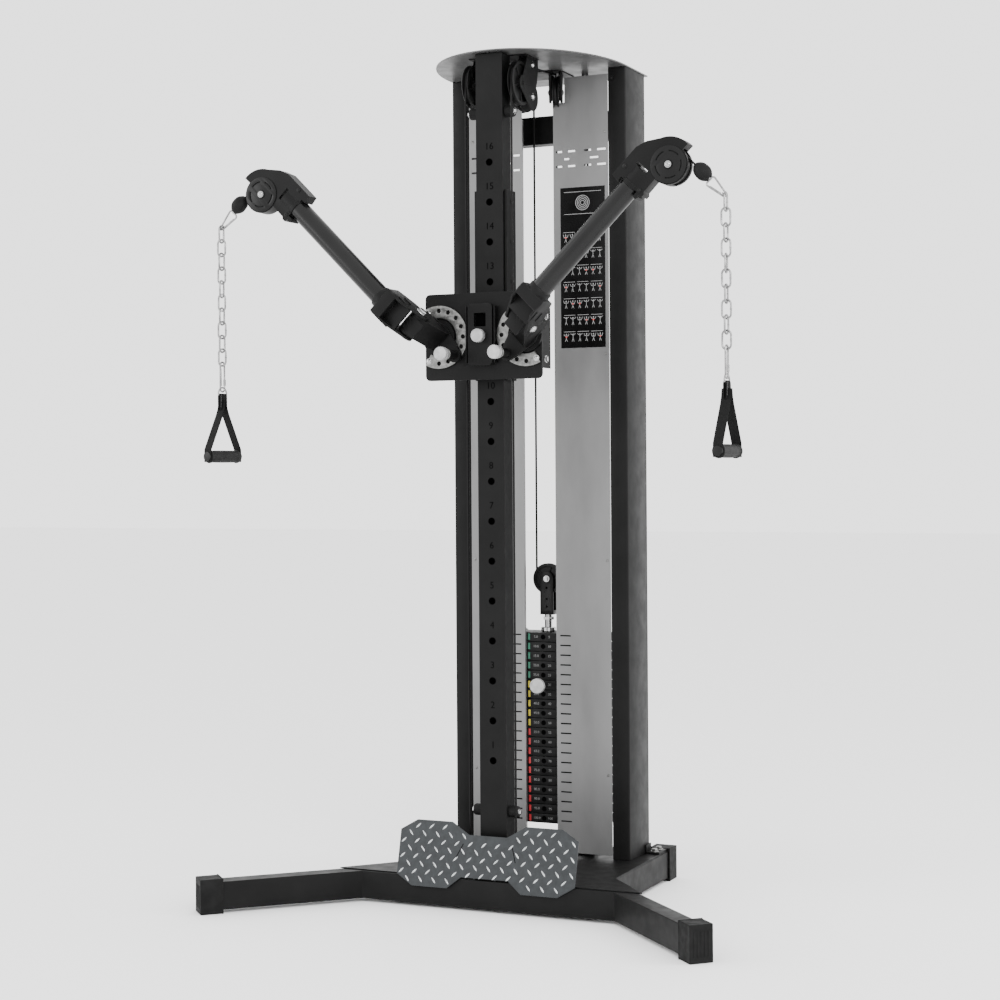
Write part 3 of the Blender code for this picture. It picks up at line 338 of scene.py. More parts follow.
TURNS = {
    "X": Matrix(((0, 0, 1, 0), (1, 0, 0, 0), (0, 1, 0, 0), (0, 0, 0, 1))),
    "Y": Matrix(((1, 0, 0, 0), (0, 0, -1, 0), (0, 1, 0, 0), (0, 0, 0, 1))),
    "Z": Matrix.Identity(4),
}


def plate(outline, span, normal="Y", holes=(), bevel=0.0006):
    """A flat outline with holes, between two places along its normal, with every edge rounded."""
    curve = bpy.data.curves.new("plate", "CURVE")
    curve.dimensions = "2D"
    curve.fill_mode = "BOTH"
    curve.extrude = (span[1] - span[0]) / 2 - bevel
    curve.bevel_depth = bevel
    curve.bevel_resolution = 1
    curve.offset = -bevel
    for ring in (outline, *holes):
        spline = curve.splines.new("POLY")
        spline.points.add(len(ring) - 1)
        for point, (a, b) in zip(spline.points, ring):
            point.co = (a, b, 0.0, 1.0)
        spline.use_cyclic_u = True
    mesh = from_curve(curve)
    mesh.transform(TURNS[normal])
    middle = (span[0] + span[1]) / 2
    shift = {"X": (middle, 0, 0), "Y": (0, middle, 0), "Z": (0, 0, middle)}[normal]
    mesh.transform(Matrix.Translation(shift))
    return mesh


def arc(centre, radius, start, end, steps):
    """Points on an arc, both ends included; angles in degrees."""
    turns = [math.radians(start + (end - start) * i / steps) for i in range(steps + 1)]
    return [(centre[0] + radius * math.cos(a), centre[1] + radius * math.sin(a)) for a in turns]


def circle(centre, radius, sides=24):
    return arc(centre, radius, 0, 360, sides)[:-1]


def rectangle(x, y):
    return [(x[0], y[0]), (x[1], y[0]), (x[1], y[1]), (x[0], y[1])]


def lettering(text, height, depth=0.0003):
    """Numerals standing in the XZ plane, centred, facing -Y."""
    curve = bpy.data.curves.new("lettering", "FONT")
    curve.body = text
    curve.size = height / 0.70
    curve.extrude = depth / 2
    curve.align_x = "CENTER"
    curve.align_y = "CENTER"
    curve.resolution_u = 3
    mesh = from_curve(curve)
    mesh.transform(Matrix.Rotation(math.pi / 2, 4, "X"))
    return mesh


def show(name, mesh, material, body, replaces=(), smooth=35):
    """Makes a piece, gives it its material and lets it ride on a body."""
    mesh.materials.clear()
    mesh.materials.append(MATERIALS[material])
    mesh.shade_smooth()
    mesh.set_sharp_from_angle(angle=math.radians(smooth))
    thing = bpy.data.objects.new(name, mesh)
    bpy.context.scene.collection.objects.link(thing)
    if body:
        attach(thing, body)
    if replaces:
        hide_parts(*replaces)
    return thing


def refined(node, material, body, width=0.0012, segments=2):
    """The CAD solid with its flat faces cleaned and its sharp edges rounded, as a piece of its own."""
    bm = bmesh.new()
    bm.from_mesh(NODES[node].data)
    bmesh.ops.remove_doubles(bm, verts=bm.verts[:], dist=0.00002)
    bmesh.ops.dissolve_limit(bm, angle_limit=math.radians(0.5), verts=bm.verts[:], edges=bm.edges[:])
    thing = show(f"{node}_skin", kept_mesh(bm), material, body, [node])
    if width:
        rounding = thing.modifiers.new("rounding", "BEVEL")
        rounding.width = width
        rounding.segments = segments
        rounding.limit_method = "ANGLE"
        rounding.angle_limit = math.radians(40)
        rounding.use_clamp_overlap = True
        rounding.harden_normals = True


# ---------------------------------------------------------------- small hardware
def hex_bolt(size, height, washer=True):
    """A hexagon head on a washer, standing on Z = 0 and facing +Z."""
    pieces = [plate(circle((0, 0), size, 6), (0.0012, height), "Z", bevel=min(0.0008, size * 0.12))]
    if washer:
        pieces.append(turned([(0, 0), (size * 1.25, 0), (size * 1.35, 0.0004), (size * 1.30, 0.0014),
                              (0, 0.0014)]))
    return merged(pieces)


def dome_bolt(size, height):
    """A domed socket head on a washer, facing +Z."""
    dome = [(size * x, height * (0.35 + 0.65 * z)) for x, z in arc((0, 0), 1, 0, 75, 5)]
    profile = [(0, 0), (size * 1.3, 0), (size * 1.3, 0.001), (size, 0.001), *dome,
               (size * 0.25, height * 0.95), (size * 0.25, height * 0.55), (0, height * 0.55)]
    return turned(profile, "Z", 24)


def facing(direction):
    """Turns +Z onto a direction."""
    return Vector((0, 0, 1)).rotation_difference(Vector(direction)).to_matrix().to_4x4()


def bolts(places, make):
    """Copies of a bolt at (position, direction) places, as one mesh."""
    return merged([moved(make, Matrix.Translation(p) @ facing(d)) for p, d in places])


def pulley_mesh(rim, pitch, axis):
    """A nylon cable wheel: rounded rims, cable groove, thin web with ribs, and a hub."""
    half, web, hub, bore = 0.008, 0.003, 0.014, 0.0056
    inner = rim - 0.009
    near = [(bore, half), (hub, half), (hub + 0.001, web), (inner, web), (inner + 0.001, half - 0.001),
            (inner + 0.002, half), (rim - 0.001, half), (rim, half - 0.001), (rim, half - 0.002)]
    groove = [(pitch - 0.0005 - 0.0030 * x, 0.0042 * z) for x, z in arc((0, 0), 1, 60, -60, 6)]
    far = [(r, -z) for r, z in reversed(near)]
    pieces = [turned([*near, *groove, *far], axis, 56, ring=True)]
    rib = block((hub, inner), (-0.0015, 0.0015), (-half + 0.0015, half - 0.0015), 0.0005, 1)
    pieces += [moved(rib, AXES[axis] @ Matrix.Rotation(math.radians(72 * k), 4, "Z")) for k in range(5)]
    return merged(pieces)


def knob_mesh(radius, front, back):
    """A knurled cap facing -Y, about the Y axis."""
    edge = 0.0018
    profile = [(0, back), (radius * 0.9, back), (radius, back - edge), (radius, front + edge),
               (radius - edge, front), (radius * 0.80, front), (radius * 0.77, front + 0.0008),
               (0, front + 0.0008)]
    return turned(profile, "Y", 96, flutes=32, flute=0.0006)


# ---------------------------------------------------------------- fixed frame
def build_fixed_frame():
    """The welded frame, brackets, guide rods, cables and panels, with their edges rounded."""
    for node in ("front_base", "rear_base"):
        refined(node, "frame", "frame", 0.0025)
    for node in ("base_plate", "rear_crossbar", "left_upright", "right_upright", "centre_post"):
        refined(node, "frame", "frame", 0.0010)
    refined("top_plate", "top", "frame", 0.0008)
    for node in ("front_pulley_bracket", "rear_pulley_bracket"):
        refined(node, "frame", "frame", 0.0006)
    refined("guide_rods", "chrome", "frame", 0.0)
    for side in SIDES:
        refined(f"{side}_fixed_cable", "cable", "frame", 0.0)
        refined(f"{side}_panel", "panel", "frame", 0.0003)
        for end in ("front", "rear"):
            build_cap(side, end)


def build_cap(side, end):
    """A moulded foot cap with a rounded shell, a lip at its mouth and ribs on its end face."""
    refined(f"{side}_{end}_cap", "rubber", "frame", 0.0030, 3)
    low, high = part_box(f"{side}_{end}_cap")
    middle = (low + high) / 2
    turn = 90 if end == "rear" else -45 if side == "right" else 225
    place = at(middle.x, middle.y, 0) @ Matrix.Rotation(math.radians(turn), 4, "Z")
    half = 0.0290
    ribs = [block((half - 0.001, half + 0.0008), (y - 0.002, y + 0.002), (0.014, 0.072), 0.0006, 1)
            for y in (-0.018, -0.009, 0.0, 0.009, 0.018)]
    mouth = rectangle((-0.0254, 0.0254), (0.0080, 0.0790))
    lip = plate(rectangle((-0.0300, 0.0300), (0.0, 0.0878)), (-half, -half + 0.004), "X", [mouth], 0.0008)
    show(f"{side}_{end}_cap_ribs", merged([moved(m, place) for m in ribs + [lip]]), "rubber", "frame")


def build_post_numbers():
    """Numerals above the post's holes, and a near-black ring in each hole, painted shade on the hole's wall and
    mouth.
    """
    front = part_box("centre_post")[0].y
    # near-black ring lining each hole: painted shade inside the hole
    ring = turned([(0.0074, -0.003), (0.0074, 0.0006), (0.0082, 0.0010), (0.0092, 0.0004), (0.0092, 0),
                   (0.0080, -0.0001), (0.0079, -0.003)], "Y", 32, ring=True)
    pieces, hole_shade_rings = [], []
    for k in range(POST_HOLES):
        z = HOLE_Z + HOLE_STEP * k
        pieces.append(moved(lettering(str(k + 1), 0.017), at(0, front - 0.0001, z + 0.039)))
        hole_shade_rings.append(moved(ring, at(0, front, z) @ Matrix.Rotation(math.pi, 4, "Z")))
    show("post_numbers", merged(pieces), "ink_and_shade_black", "frame")
    show("post_hole_shade_rings", merged(hole_shade_rings), "ink_and_shade_black", "frame")


def build_panel_marks():
    """Ruler ticks beside the weight stack, the panels' screws, and the edges of their cut corners."""
    low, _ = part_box("right_panel")
    sheet = (low.y, low.y + 0.0015)
    notch_x = 0.0901
    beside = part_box("right_rear_pulley")[1].x + 0.006
    ticks, screws, corners = [], [], []
    for sign in SIGNS:
        for k in range(20):
            z = 0.173 + 0.0257 * k
            x = sorted((sign * 0.056, sign * 0.086))
            ticks.append(block(x, (low.y - 0.0002, low.y + 0.0001), (z - 0.0018, z + 0.0018)))
        for z in (0.30, 0.86, 1.40, 1.98):
            screws.append(((sign * 0.190, low.y, z), (0, -1, 0)))
        corners.append(block(sorted((sign * low.x, sign * notch_x)), sheet, (2.0295, 2.0640)))
        if beside < notch_x:
            corners.append(block(sorted((sign * beside, sign * notch_x)), sheet, (2.0630, 2.1290)))
    show("panel_ticks", merged(ticks), "ink_and_shade_black", "frame")
    show("panel_corners", merged(corners), "panel", "frame")
    show("panel_screws", bolts(screws, dome_bolt(0.003, 0.0018)), "zinc", "frame")


def figure(x, z, pose):
    """A small stick figure whose hands hold two cables, as strokes in the XZ plane."""
    hip, shoulder, arm = z - 0.001, z + 0.006, 0.0055
    strokes = [((x, z + 0.0075), (x, hip))]
    for sign in SIGNS:
        hand = (x + sign * arm * math.cos(pose), shoulder + arm * math.sin(pose))
        strokes.append(((x, hip), (x + sign * 0.003, z - 0.009)))
        strokes.append(((x, shoulder), hand))
        strokes.append((hand, (x + sign * 0.0072, z + 0.0115)))
    return strokes


def stroke(a, b, width, y):
    """A thin bar between two places in the XZ plane."""
    middle = ((a[0] + b[0]) / 2, (a[1] + b[1]) / 2)
    span = math.hypot(b[0] - a[0], b[1] - a[1])
    angle = math.atan2(b[1] - a[1], b[0] - a[0])
    bar = block((-span / 2, span / 2), (-0.00015, 0.00015), (-width / 2, width / 2))
    return moved(bar, at(middle[0], y, middle[1]) @ Matrix.Rotation(-angle, 4, "Y"))


def build_board():
    """The exercise board: cells with two plain figures each, under a round mark of four rings."""
    refined("exercise_board", "board", "frame", 0.0002, 1)
    low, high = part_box("exercise_board")
    y, thin = low.y - 0.0001, 0.00015
    columns, rows = 3, 7
    cell = ((high.x - low.x - 0.010) / columns, 0.0435)
    head = turned([(0, -thin), (0.0017, -thin), (0.0017, thin), (0, thin)], "Y", 12)
    white, red = [], []
    for row in range(rows):
        for column in range(columns):
            x = low.x + 0.005 + cell[0] * (column + 0.5)
            z = low.z + 0.026 + cell[1] * row
            white.append(stroke((x - 0.016, z + 0.0165), (x + 0.016, z + 0.0165), 0.0010, y))
            for k, shift in enumerate((-0.0095, 0.0095)):
                pose = 0.9 * math.sin(1.7 * row + 2.3 * column + 1.1 * k)
                white += [stroke(a, b, 0.0011, y) for a, b in figure(x + shift, z, pose)]
                white.append(moved(head, at(x + shift, y, z + 0.0098)))
                if (row + column + k) % 3 == 0:
                    ends = [(x + shift + reach, z + 0.003) for reach in (-0.0022, 0.0022)]
                    red.append(stroke(*ends, 0.003, y - 0.0001))
    for z in (high.z - 0.012, high.z - 0.070):
        white.append(stroke((low.x + 0.010, z), (high.x - 0.010, z), 0.0012, y))
    centre = ((low.x + high.x) / 2, high.z - 0.041)
    for radius in (0.020, 0.0155, 0.011, 0.0065):
        hole = circle(centre, radius - 0.0016, 40)
        white.append(plate(circle(centre, radius, 40), (y - thin, y + thin), "Y", [hole], 0.00005))
    show("board_drawings", merged(white), "ink_white", "frame")
    show("board_marks", merged(red), "ink_red", "frame")


def inside(point, outline):
    """Whether a point lies in an outline."""
    x, y = point
    hit = False
    for (x1, y1), (x2, y2) in zip(outline, outline[1:] + outline[:1]):
        if (y1 > y) != (y2 > y) and x < (x2 - x1) * (y - y1) / (y2 - y1) + x1:
            hit = not hit
    return hit


def lozenge_mesh():
    """One raised bar of tread plate, pointed at its ends and rounded on top, standing on Z = 0."""
    long, wide, tall, steps = 0.0092, 0.0023, 0.0013, 8
    bm = bmesh.new()
    rows = []
    for i in range(steps + 1):
        t = -1 + 2 * i / steps
        half = wide * max(0.0, 1 - abs(t) ** 2.2)
        x = long * t
        if half < 1e-6:
            rows.append([bm.verts.new((x, 0, 0))])
            continue
        rows.append([bm.verts.new((x, half * s, z * max(0.15, half / wide))) for s, z in
                     ((-1, 0), (-0.62, tall * 0.8), (0, tall), (0.62, tall * 0.8), (1, 0))])
    for a, b in zip(rows, rows[1:]):
        n = max(len(a), len(b))
        for j in range(n - 1):
            corners = [a[min(j, len(a) - 1)], a[min(j + 1, len(a) - 1)], b[min(j + 1, len(b) - 1)],
                       b[min(j, len(b) - 1)]]
            bm.faces.new(list(dict.fromkeys(corners)))
        if n > 1:
            corners = [a[0], b[0], b[-1], a[-1]]
            bm.faces.new(list(dict.fromkeys(corners)))
    return to_mesh(bm)


def build_footplate():
    """Tread plate: bright lozenges in alternating directions on the dark leaning plate."""
    refined("footplate", "tread", "frame", 0.0006)
    right = [(0.064, -0.0525), (0.101, -0.0825), (0.198, -0.0825), (0.243, -0.055), (0.243, 0.056),
             (0.198, 0.0825), (0.101, 0.0825), (0.052, 0.053)]
    outline = right + [(-x, z) for x, z in reversed(right)]
    place = at(0, FRONT - 0.352, 0.1345) @ Matrix.Rotation(math.radians(-14), 4, "X")
    face = Matrix.Rotation(math.pi / 2, 4, "X")
    one = lozenge_mesh()
    pieces = []
    step_x, step_z, reach = 0.0185, 0.0190, 0.0080
    for i in range(-16, 17):
        for j in range(-6, 7):
            if (i + j) % 2:
                continue
            x, z = i * step_x + 0.009, j * step_z + 0.0104
            turn = math.radians(45 if j % 2 else -52)
            tip = (reach * math.cos(turn), reach * math.sin(turn))
            if not all(inside((x + k * tip[0], z + k * tip[1]), outline) for k in SIGNS):
                continue
            local = at(x, -0.0015, z) @ face @ Matrix.Rotation(turn, 4, "Z")
            pieces.append(moved(one, place @ local))
    show("footplate_lozenges", merged(pieces), "lozenge", "frame", smooth=50)
    seam = block((-0.0009, 0.0009), (-0.0018, -0.0014), (-0.020, 0.020))
    seams = [moved(seam, place @ at(x, 0, 0.012) @ Matrix.Rotation(turn, 4, "Y"))
             for x, turn in ((-0.074, 0.45), (0.074, -0.30))]
    show("footplate_seams", merged(seams), "ink_and_shade_black", "frame")


def build_bumpers():
    """Rubber stops on both sides of the post, on a through bolt."""
    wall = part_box("centre_post")[1].x
    profile = [(0.0045, 0.0003), (0.0138, 0.0003), (0.0145, 0.0012), (0.0145, 0.0200), (0.0135, 0.0235),
               (0.0110, 0.0247), (0.0045, 0.0247)]
    stop = turned(profile, "Z", 36, ring=True)
    through = rod(0.004, -wall - 0.025, wall + 0.025, "X")
    for node in ("lower_bumpers", "upper_bumpers"):
        low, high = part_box(node)
        middle = (low + high) / 2
        stops, heads = [], []
        for sign in SIGNS:
            place = at(sign * wall, middle.y, middle.z) @ Matrix.Rotation(sign * math.pi / 2, 4, "Y")
            stops.append(moved(stop, place))
            heads.append(((sign * (wall + 0.0247), middle.y, middle.z), (sign, 0, 0)))
        show(f"{node}_rubber", merged(stops), "rubber", "frame", [node])
        bolt = merged([moved(through, at(0, middle.y, middle.z)), bolts(heads, hex_bolt(0.0065, 0.0050))])
        show(f"{node}_bolt", bolt, "chrome", "frame")


def build_frame_bolts():
    """Bolts at the uprights' tops, the pulley brackets and the uprights' angle feet."""
    foot_y, foot_z = FRONT + 0.110, 0.0815
    tops, lobes, feet, anchors = [], [], [], []
    for sign in SIGNS:
        tops.append(((sign * 0.2120, FRONT, 2.118), (0, -1, 0)))
        lobes += [((sign * 0.0750, FRONT - 0.203, z), (sign, 0, 0)) for z in (2.045, 2.126)]
        for inner, outer, depth, top in ((0.2495, 0.289, 0.058, 0.0870), (0.2493, 0.2540, 0.036, 0.105)):
            x = sorted((sign * inner, sign * outer))
            feet.append(block(x, (foot_y, foot_y + depth), (foot_z, top), 0.0010))
        anchors += [((sign * 0.272, FRONT + y, 0.0870), (0, 0, 1)) for y in (0.122, 0.156)]
    show("frame_bolts", bolts(tops, hex_bolt(0.0050, 0.0050)), "nylon", "frame")
    show("pulley_bracket_bolts", bolts(lobes, dome_bolt(0.0070, 0.0050)), "chrome", "frame")
    show("upright_feet", merged(feet), "frame", "frame")
    show("foot_bolts", bolts(anchors, hex_bolt(0.0080, 0.0080)), "zinc", "frame")


def build_top_pulleys():
    """The four wheels under the top plate, and the deep cheeks around the rear pair."""
    for side in SIDES:
        toe = REAR_TOE if side == "right" else -REAR_TOE
        for which, rim, pitch, turn in (("rear", 0.0455, REAR_PITCH, toe), ("front", 0.055, 0.048, 0.0)):
            node = f"{side}_{which}_pulley"
            low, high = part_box(node)
            place = Matrix.Translation((low + high) / 2) @ Matrix.Rotation(math.radians(turn), 4, "Z")
            show(f"{node}_wheel", moved(pulley_mesh(rim, pitch, "X"), place), "nylon", node, [node])
            if which == "rear":
                build_rear_cheeks(node, place)


def build_rear_cheeks(node, place):
    """A pair of cheeks from the hanger plate down round the axle, with the axle's bolt heads."""
    half, inner, outer = 0.034, 0.0118, 0.0180
    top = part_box("rear_pulley_bracket")[1].z - place.translation.z
    lobe = [(-half, top), (half, top), (half, 0.030), *arc((0, -0.004), 0.024, 20, -200, 12), (-half, 0.030)]
    cheeks, heads = [], []
    for sign in SIGNS:
        cheeks.append(plate(lobe, sorted((sign * inner, sign * outer)), "X", bevel=0.0008))
        heads.append(moved(dome_bolt(0.0060, 0.0034), at(sign * outer, 0, 0) @ facing((sign, 0, 0))))
    show(f"{node}_cheeks", moved(merged(cheeks), place), "frame", "frame")
    show(f"{node}_bolts", moved(merged(heads), place), "zinc", "frame")


# ---------------------------------------------------------------- weight stack
def weight_plates(node, body, first, count):
    """Separate cast plates with rounded edges, their colour labels, black discs as painted shade in the pin
    holes, and weight numerals.
    """
    low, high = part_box(node)
    pitch = (high.z - low.z + 0.0003) / count
    plates, hole_shades, numbers = [], [], []
    labels = {"green": [], "yellow": [], "red": []}
    front = low.y
    # a flat black disc at each pin hole: painted shade standing in for the hole's dark inside
    rim = turned([(0, -0.0002), (0.0048, -0.0002), (0.0060, -0.0008), (0.0066, -0.0002), (0.0066, 0.001),
                  (0, 0.001)], "Y", 24)
    for k in range(count):
        bottom = low.z + k * pitch
        index = first + count - k
        plates.append(block((low.x, high.x), (low.y, high.y), (bottom, bottom + pitch - 0.0012), 0.0022))
        middle = bottom + pitch / 2
        hole_shades.append(moved(rim, at(0.002, front, middle)))
        tone = "green" if index <= 5 else "yellow" if index <= 10 else "red"
        labels[tone].append(block((-0.0415, -0.0355), (front - 0.0006, front + 0.001),
                                  (middle - 0.0085, middle + 0.0085), 0.0003, 1))
        numbers.append(moved(lettering(str(5 * index), 0.0065), at(0.0200, front - 0.0002, middle)))
        numbers.append(moved(lettering(f"{5 * index}.0", 0.0065), at(-0.0185, front - 0.0002, middle)))
    show(f"{node}_plates", merged(plates), "cast", body, [node])
    show(f"{node}_pin_hole_shades", merged(hole_shades), "ink_and_shade_black", body)
    show(f"{node}_numbers", merged(numbers), "ink_grey", body)
    for tone, pieces in labels.items():
        if pieces:
            show(f"{node}_labels_{tone}", merged(pieces), f"label_{tone}", body)


def build_yoke():
    """Bright selector stem with its collar, and the black cheeks that carry the floating pulley."""
    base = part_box("lift_yoke")[0].z
    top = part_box("lifted_weights")[1].z
    half, reach = 0.019, 0.0122
    stem = rod(0.010, base, top + 0.048, bevel=0.0012)
    collar = turned([(0, top + 0.0004), (0.019, top + 0.0004), (0.020, top + 0.0015), (0.020, top + 0.0105),
                     (0.0185, top + 0.012), (0, top + 0.012)])
    nut = moved(hex_bolt(0.0155, 0.0090, False), at(0, 0, top + 0.030))
    show("yoke_stem", moved(merged([stem, collar, nut]), at(0, STACK_Y, 0)), "chrome", "lift", ["lift_yoke"])
    outline = [(-half, top + 0.045), (half, top + 0.045), *arc((0, FLOAT_Z), half, 0, 180, 14)]
    holes = [circle((0, top + rise), 0.0030, 16) for rise in (0.066, 0.086, 0.116)]
    cheeks = [plate(outline, (STACK_Y + start, STACK_Y + start + 0.0030), "Y", holes)
              for start in (-reach, reach - 0.0030)]
    bridge = block((-half, half), (STACK_Y - reach, STACK_Y + reach), (top + 0.045, top + 0.056), 0.001)
    show("yoke_cheeks", merged([*cheeks, bridge]), "nylon", "lift")
    ends = [((0, STACK_Y + sign * reach, FLOAT_Z), (0, sign, 0)) for sign in SIGNS]
    show("yoke_bolt", bolts(ends, hex_bolt(0.0065, 0.0045)), "chrome", "lift")


def build_stack():
    """The weights with the parts that ride on them: yoke, floating pulley, selector pin, buttons."""
    weight_plates("resting_weights", "frame", 6, 14)
    weight_plates("lifted_weights", "lift", 0, 6)
    build_yoke()
    low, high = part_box("floating_pulley")
    middle = (low + high) / 2
    wheel = moved(pulley_mesh(0.041, FLOAT_PITCH, "Y"), Matrix.Translation(middle))
    show("floating_pulley_wheel", wheel, "nylon", "floating_pulley", ["floating_pulley"])
    wrap = [(x, middle.y, z) for x, z in arc((middle.x, middle.z), FLOAT_PITCH, 180, 360, 18)]
    show("floating_cable_wrap", tube(wrap, CABLE_R), "cable", "lift")
    low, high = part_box("selector_pin")
    z = (low.z + high.z) / 2
    shaft = rod(0.0045, low.y + 0.020, high.y, "Y")
    knob = knob_mesh(0.020, low.y, low.y + 0.014)
    neck = [(0, low.y + 0.013), (0.012, low.y + 0.014), (0.007, low.y + 0.031), (0, low.y + 0.031)]
    knob = moved(merged([knob, turned(neck, "Y")]), at(0, 0, z))
    show("selector_pin_knob", knob, "knob", "selector_pin", ["selector_pin"])
    show("selector_pin_shaft", moved(shaft, at(0, 0, z)), "chrome", "selector_pin")
    button = turned([(0, 0), (0.011, 0), (0.011, 0.006), (0.008, 0.009), (0, 0.009)], "Z")
    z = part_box("lifted_weights")[1].z - 0.0002
    buttons = [moved(button, at(x, FRONT + 0.030, z)) for x in (-0.06, 0.06)]
    show("stack_top_buttons", merged(buttons), "knob", "lift")


def build_stack_cables():
    """The two falls of cable from the rear top pulleys to the floating pulley."""
    for side in SIDES:
        node = f"{side}_stack_cable"
        low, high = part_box(node)
        sign = 1 if side == "right" else -1
        toe = math.radians(REAR_TOE)
        x_top = sign * (0.048 - math.sin(toe) * REAR_PITCH)
        y_top = FRONT + 0.015 + math.cos(toe) * REAR_PITCH
        start = Vector((x_top, y_top, high.z))
        end = Vector((sign * FLOAT_PITCH, STACK_Y, low.z))
        points = [start.lerp(end, t / 30) for t in range(31)]
        thing = show(f"{node}_fall", tube(points, CABLE_R), "cable", None, [node])
        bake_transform(thing)


# ---------------------------------------------------------------- carriage
def build_carriage():
    """The sliding carriage with its bolts, liners, index discs and pull pin."""
    refined("carriage", "frame", "carriage", 0.0016, 3)
    channel, screws, side_bolts, liners, fins = [], [], [], [], []
    for sign in SIGNS:
        channel += [((sign * 0.0445, FRONT - 0.272, 1.372 + 0.100 * k), (sign, 0, 0)) for k in range(5)]
        screws += [((sign * x, DISC_FRONT, z), (0, -1, 0)) for x, z in arc((ARM_X, ARM_Z), INDEX_R, 65, -65, 1)]
        side_bolts += [((sign * 0.150, FRONT - 0.305, z), (sign, 0, 0)) for z in (1.372, 1.478)]
        lining = sorted((sign * 0.0366, sign * 0.0384))
        liners += [block(lining, (FRONT - 0.298, FRONT - 0.262), z, 0.0003, 1)
                   for z in ((1.345, 1.420), (1.700, 1.790))]
        fin = sorted((sign * 0.0372, sign * 0.0400))
        fins.append(block(fin, (FRONT - 0.3690, FRONT - 0.3512), (1.364, 1.505), 0.0010))
    show("carriage_channel_bolts", bolts(channel, dome_bolt(0.0055, 0.0040)), "nylon", "carriage")
    show("disc_screws", bolts(screws, dome_bolt(0.0058, 0.0042)), "chrome", "carriage")
    show("carriage_side_bolts", bolts(side_bolts, hex_bolt(0.0070, 0.0060)), "chrome", "carriage")
    show("carriage_liners", merged(liners), "nylon", "carriage")
    show("housing_fins", merged(fins), "frame", "carriage")
    pin = at(0, 0, 1.431)
    knob = moved(knob_mesh(0.017, FRONT - 0.390, FRONT - 0.3725), pin)
    show("carriage_pin_knob", knob, "knob", "carriage_pin", ["carriage_pin"])
    shaft = moved(rod(0.006, FRONT - 0.3735, FRONT - 0.3075, "Y"), pin)
    show("carriage_pin_shaft", shaft, "chrome", "carriage_pin")
    # a thin black sheet across the back of the housing's window: painted shade in the opening
    window = block((-0.0155, 0.0155), (FRONT - 0.3585, FRONT - 0.3580), (1.4545, 1.4875))
    show("carriage_window_shade", window, "ink_and_shade_black", "carriage")
    for side in SIDES:
        build_disc(side)


def build_disc(side):
    """A zinc-plated index ring segment with nine countersunk holes."""
    start, end = 180 - 118, 180 + 118
    outline = arc((0, 0), 0.079, start, end, 64) + arc((0, 0), 0.048, end, start, 48)
    holes = [circle(centre, 0.0055) for centre in arc((0, 0), INDEX_R, 90, 270, 8)]
    solid = moved(plate(outline, (DISC_FRONT, PLATE_FRONT), "Y", holes), at(ARM_X, 0, ARM_Z))
    if side == "left":
        solid = moved(solid, Matrix.Scale(-1, 4, (1, 0, 0)))
    show(f"{side}_index_ring", solid, "zinc", "carriage", [f"{side}_index_disc"])


# ---------------------------------------------------------------- arms: X along the arm, Z across it
def arm_matrix(side):
    """The arm's frame at rest: origin on the tilt axis, X along the arm; mirrored for the left."""
    place = at(ARM_X, FRONT, ARM_Z) @ Matrix.Rotation(math.radians(ARM_LEAN), 4, "Y")
    return place if side == "right" else Matrix.Scale(-1, 4, (1, 0, 0)) @ place


def build_hub(side):
    """The tilting hub with its pull pin, the barrel's end ring, and the small plate of swing holes."""
    place = arm_matrix(side)
    body = f"{side}_arm_hub"
    refined(body, "frame", body, 0.0014, 3)
    pin = f"{side}_tilt_pin"
    barrel = place @ at(-INDEX_R, 0, 0)
    show(f"{pin}_knob", moved(knob_mesh(0.017, -0.450, -0.4305), barrel), "knob", pin, [pin])
    show(f"{pin}_shaft", moved(rod(0.005, -0.432, -0.3578, "Y"), barrel), "chrome", pin)
    outline = [(0.004, -0.022), *arc((0.030, 0.0), 0.0235, -70, 70, 12), (0.004, 0.022)]
    holes = [circle(arc((0.030, 0), 0.0165, a, a, 1)[0], 0.0028, 16) for a in (-50, -17, 17, 50)]
    index = plate(outline, (-0.4660, -0.4635), "Y", holes, 0.0004)
    show(f"{side}_swing_index", moved(index, place @ at(0.003, 0, 0)), "frame", body)
    ring = turned([(0.0130, -0.4140), (0.0138, -0.4146), (0.0138, -0.4180), (0.0128, -0.4188),
                   (0.0056, -0.4188), (0.0056, -0.4140)], "Y", 36, ring=True)
    show(f"{side}_barrel_ring", moved(ring, barrel), "zinc", body)


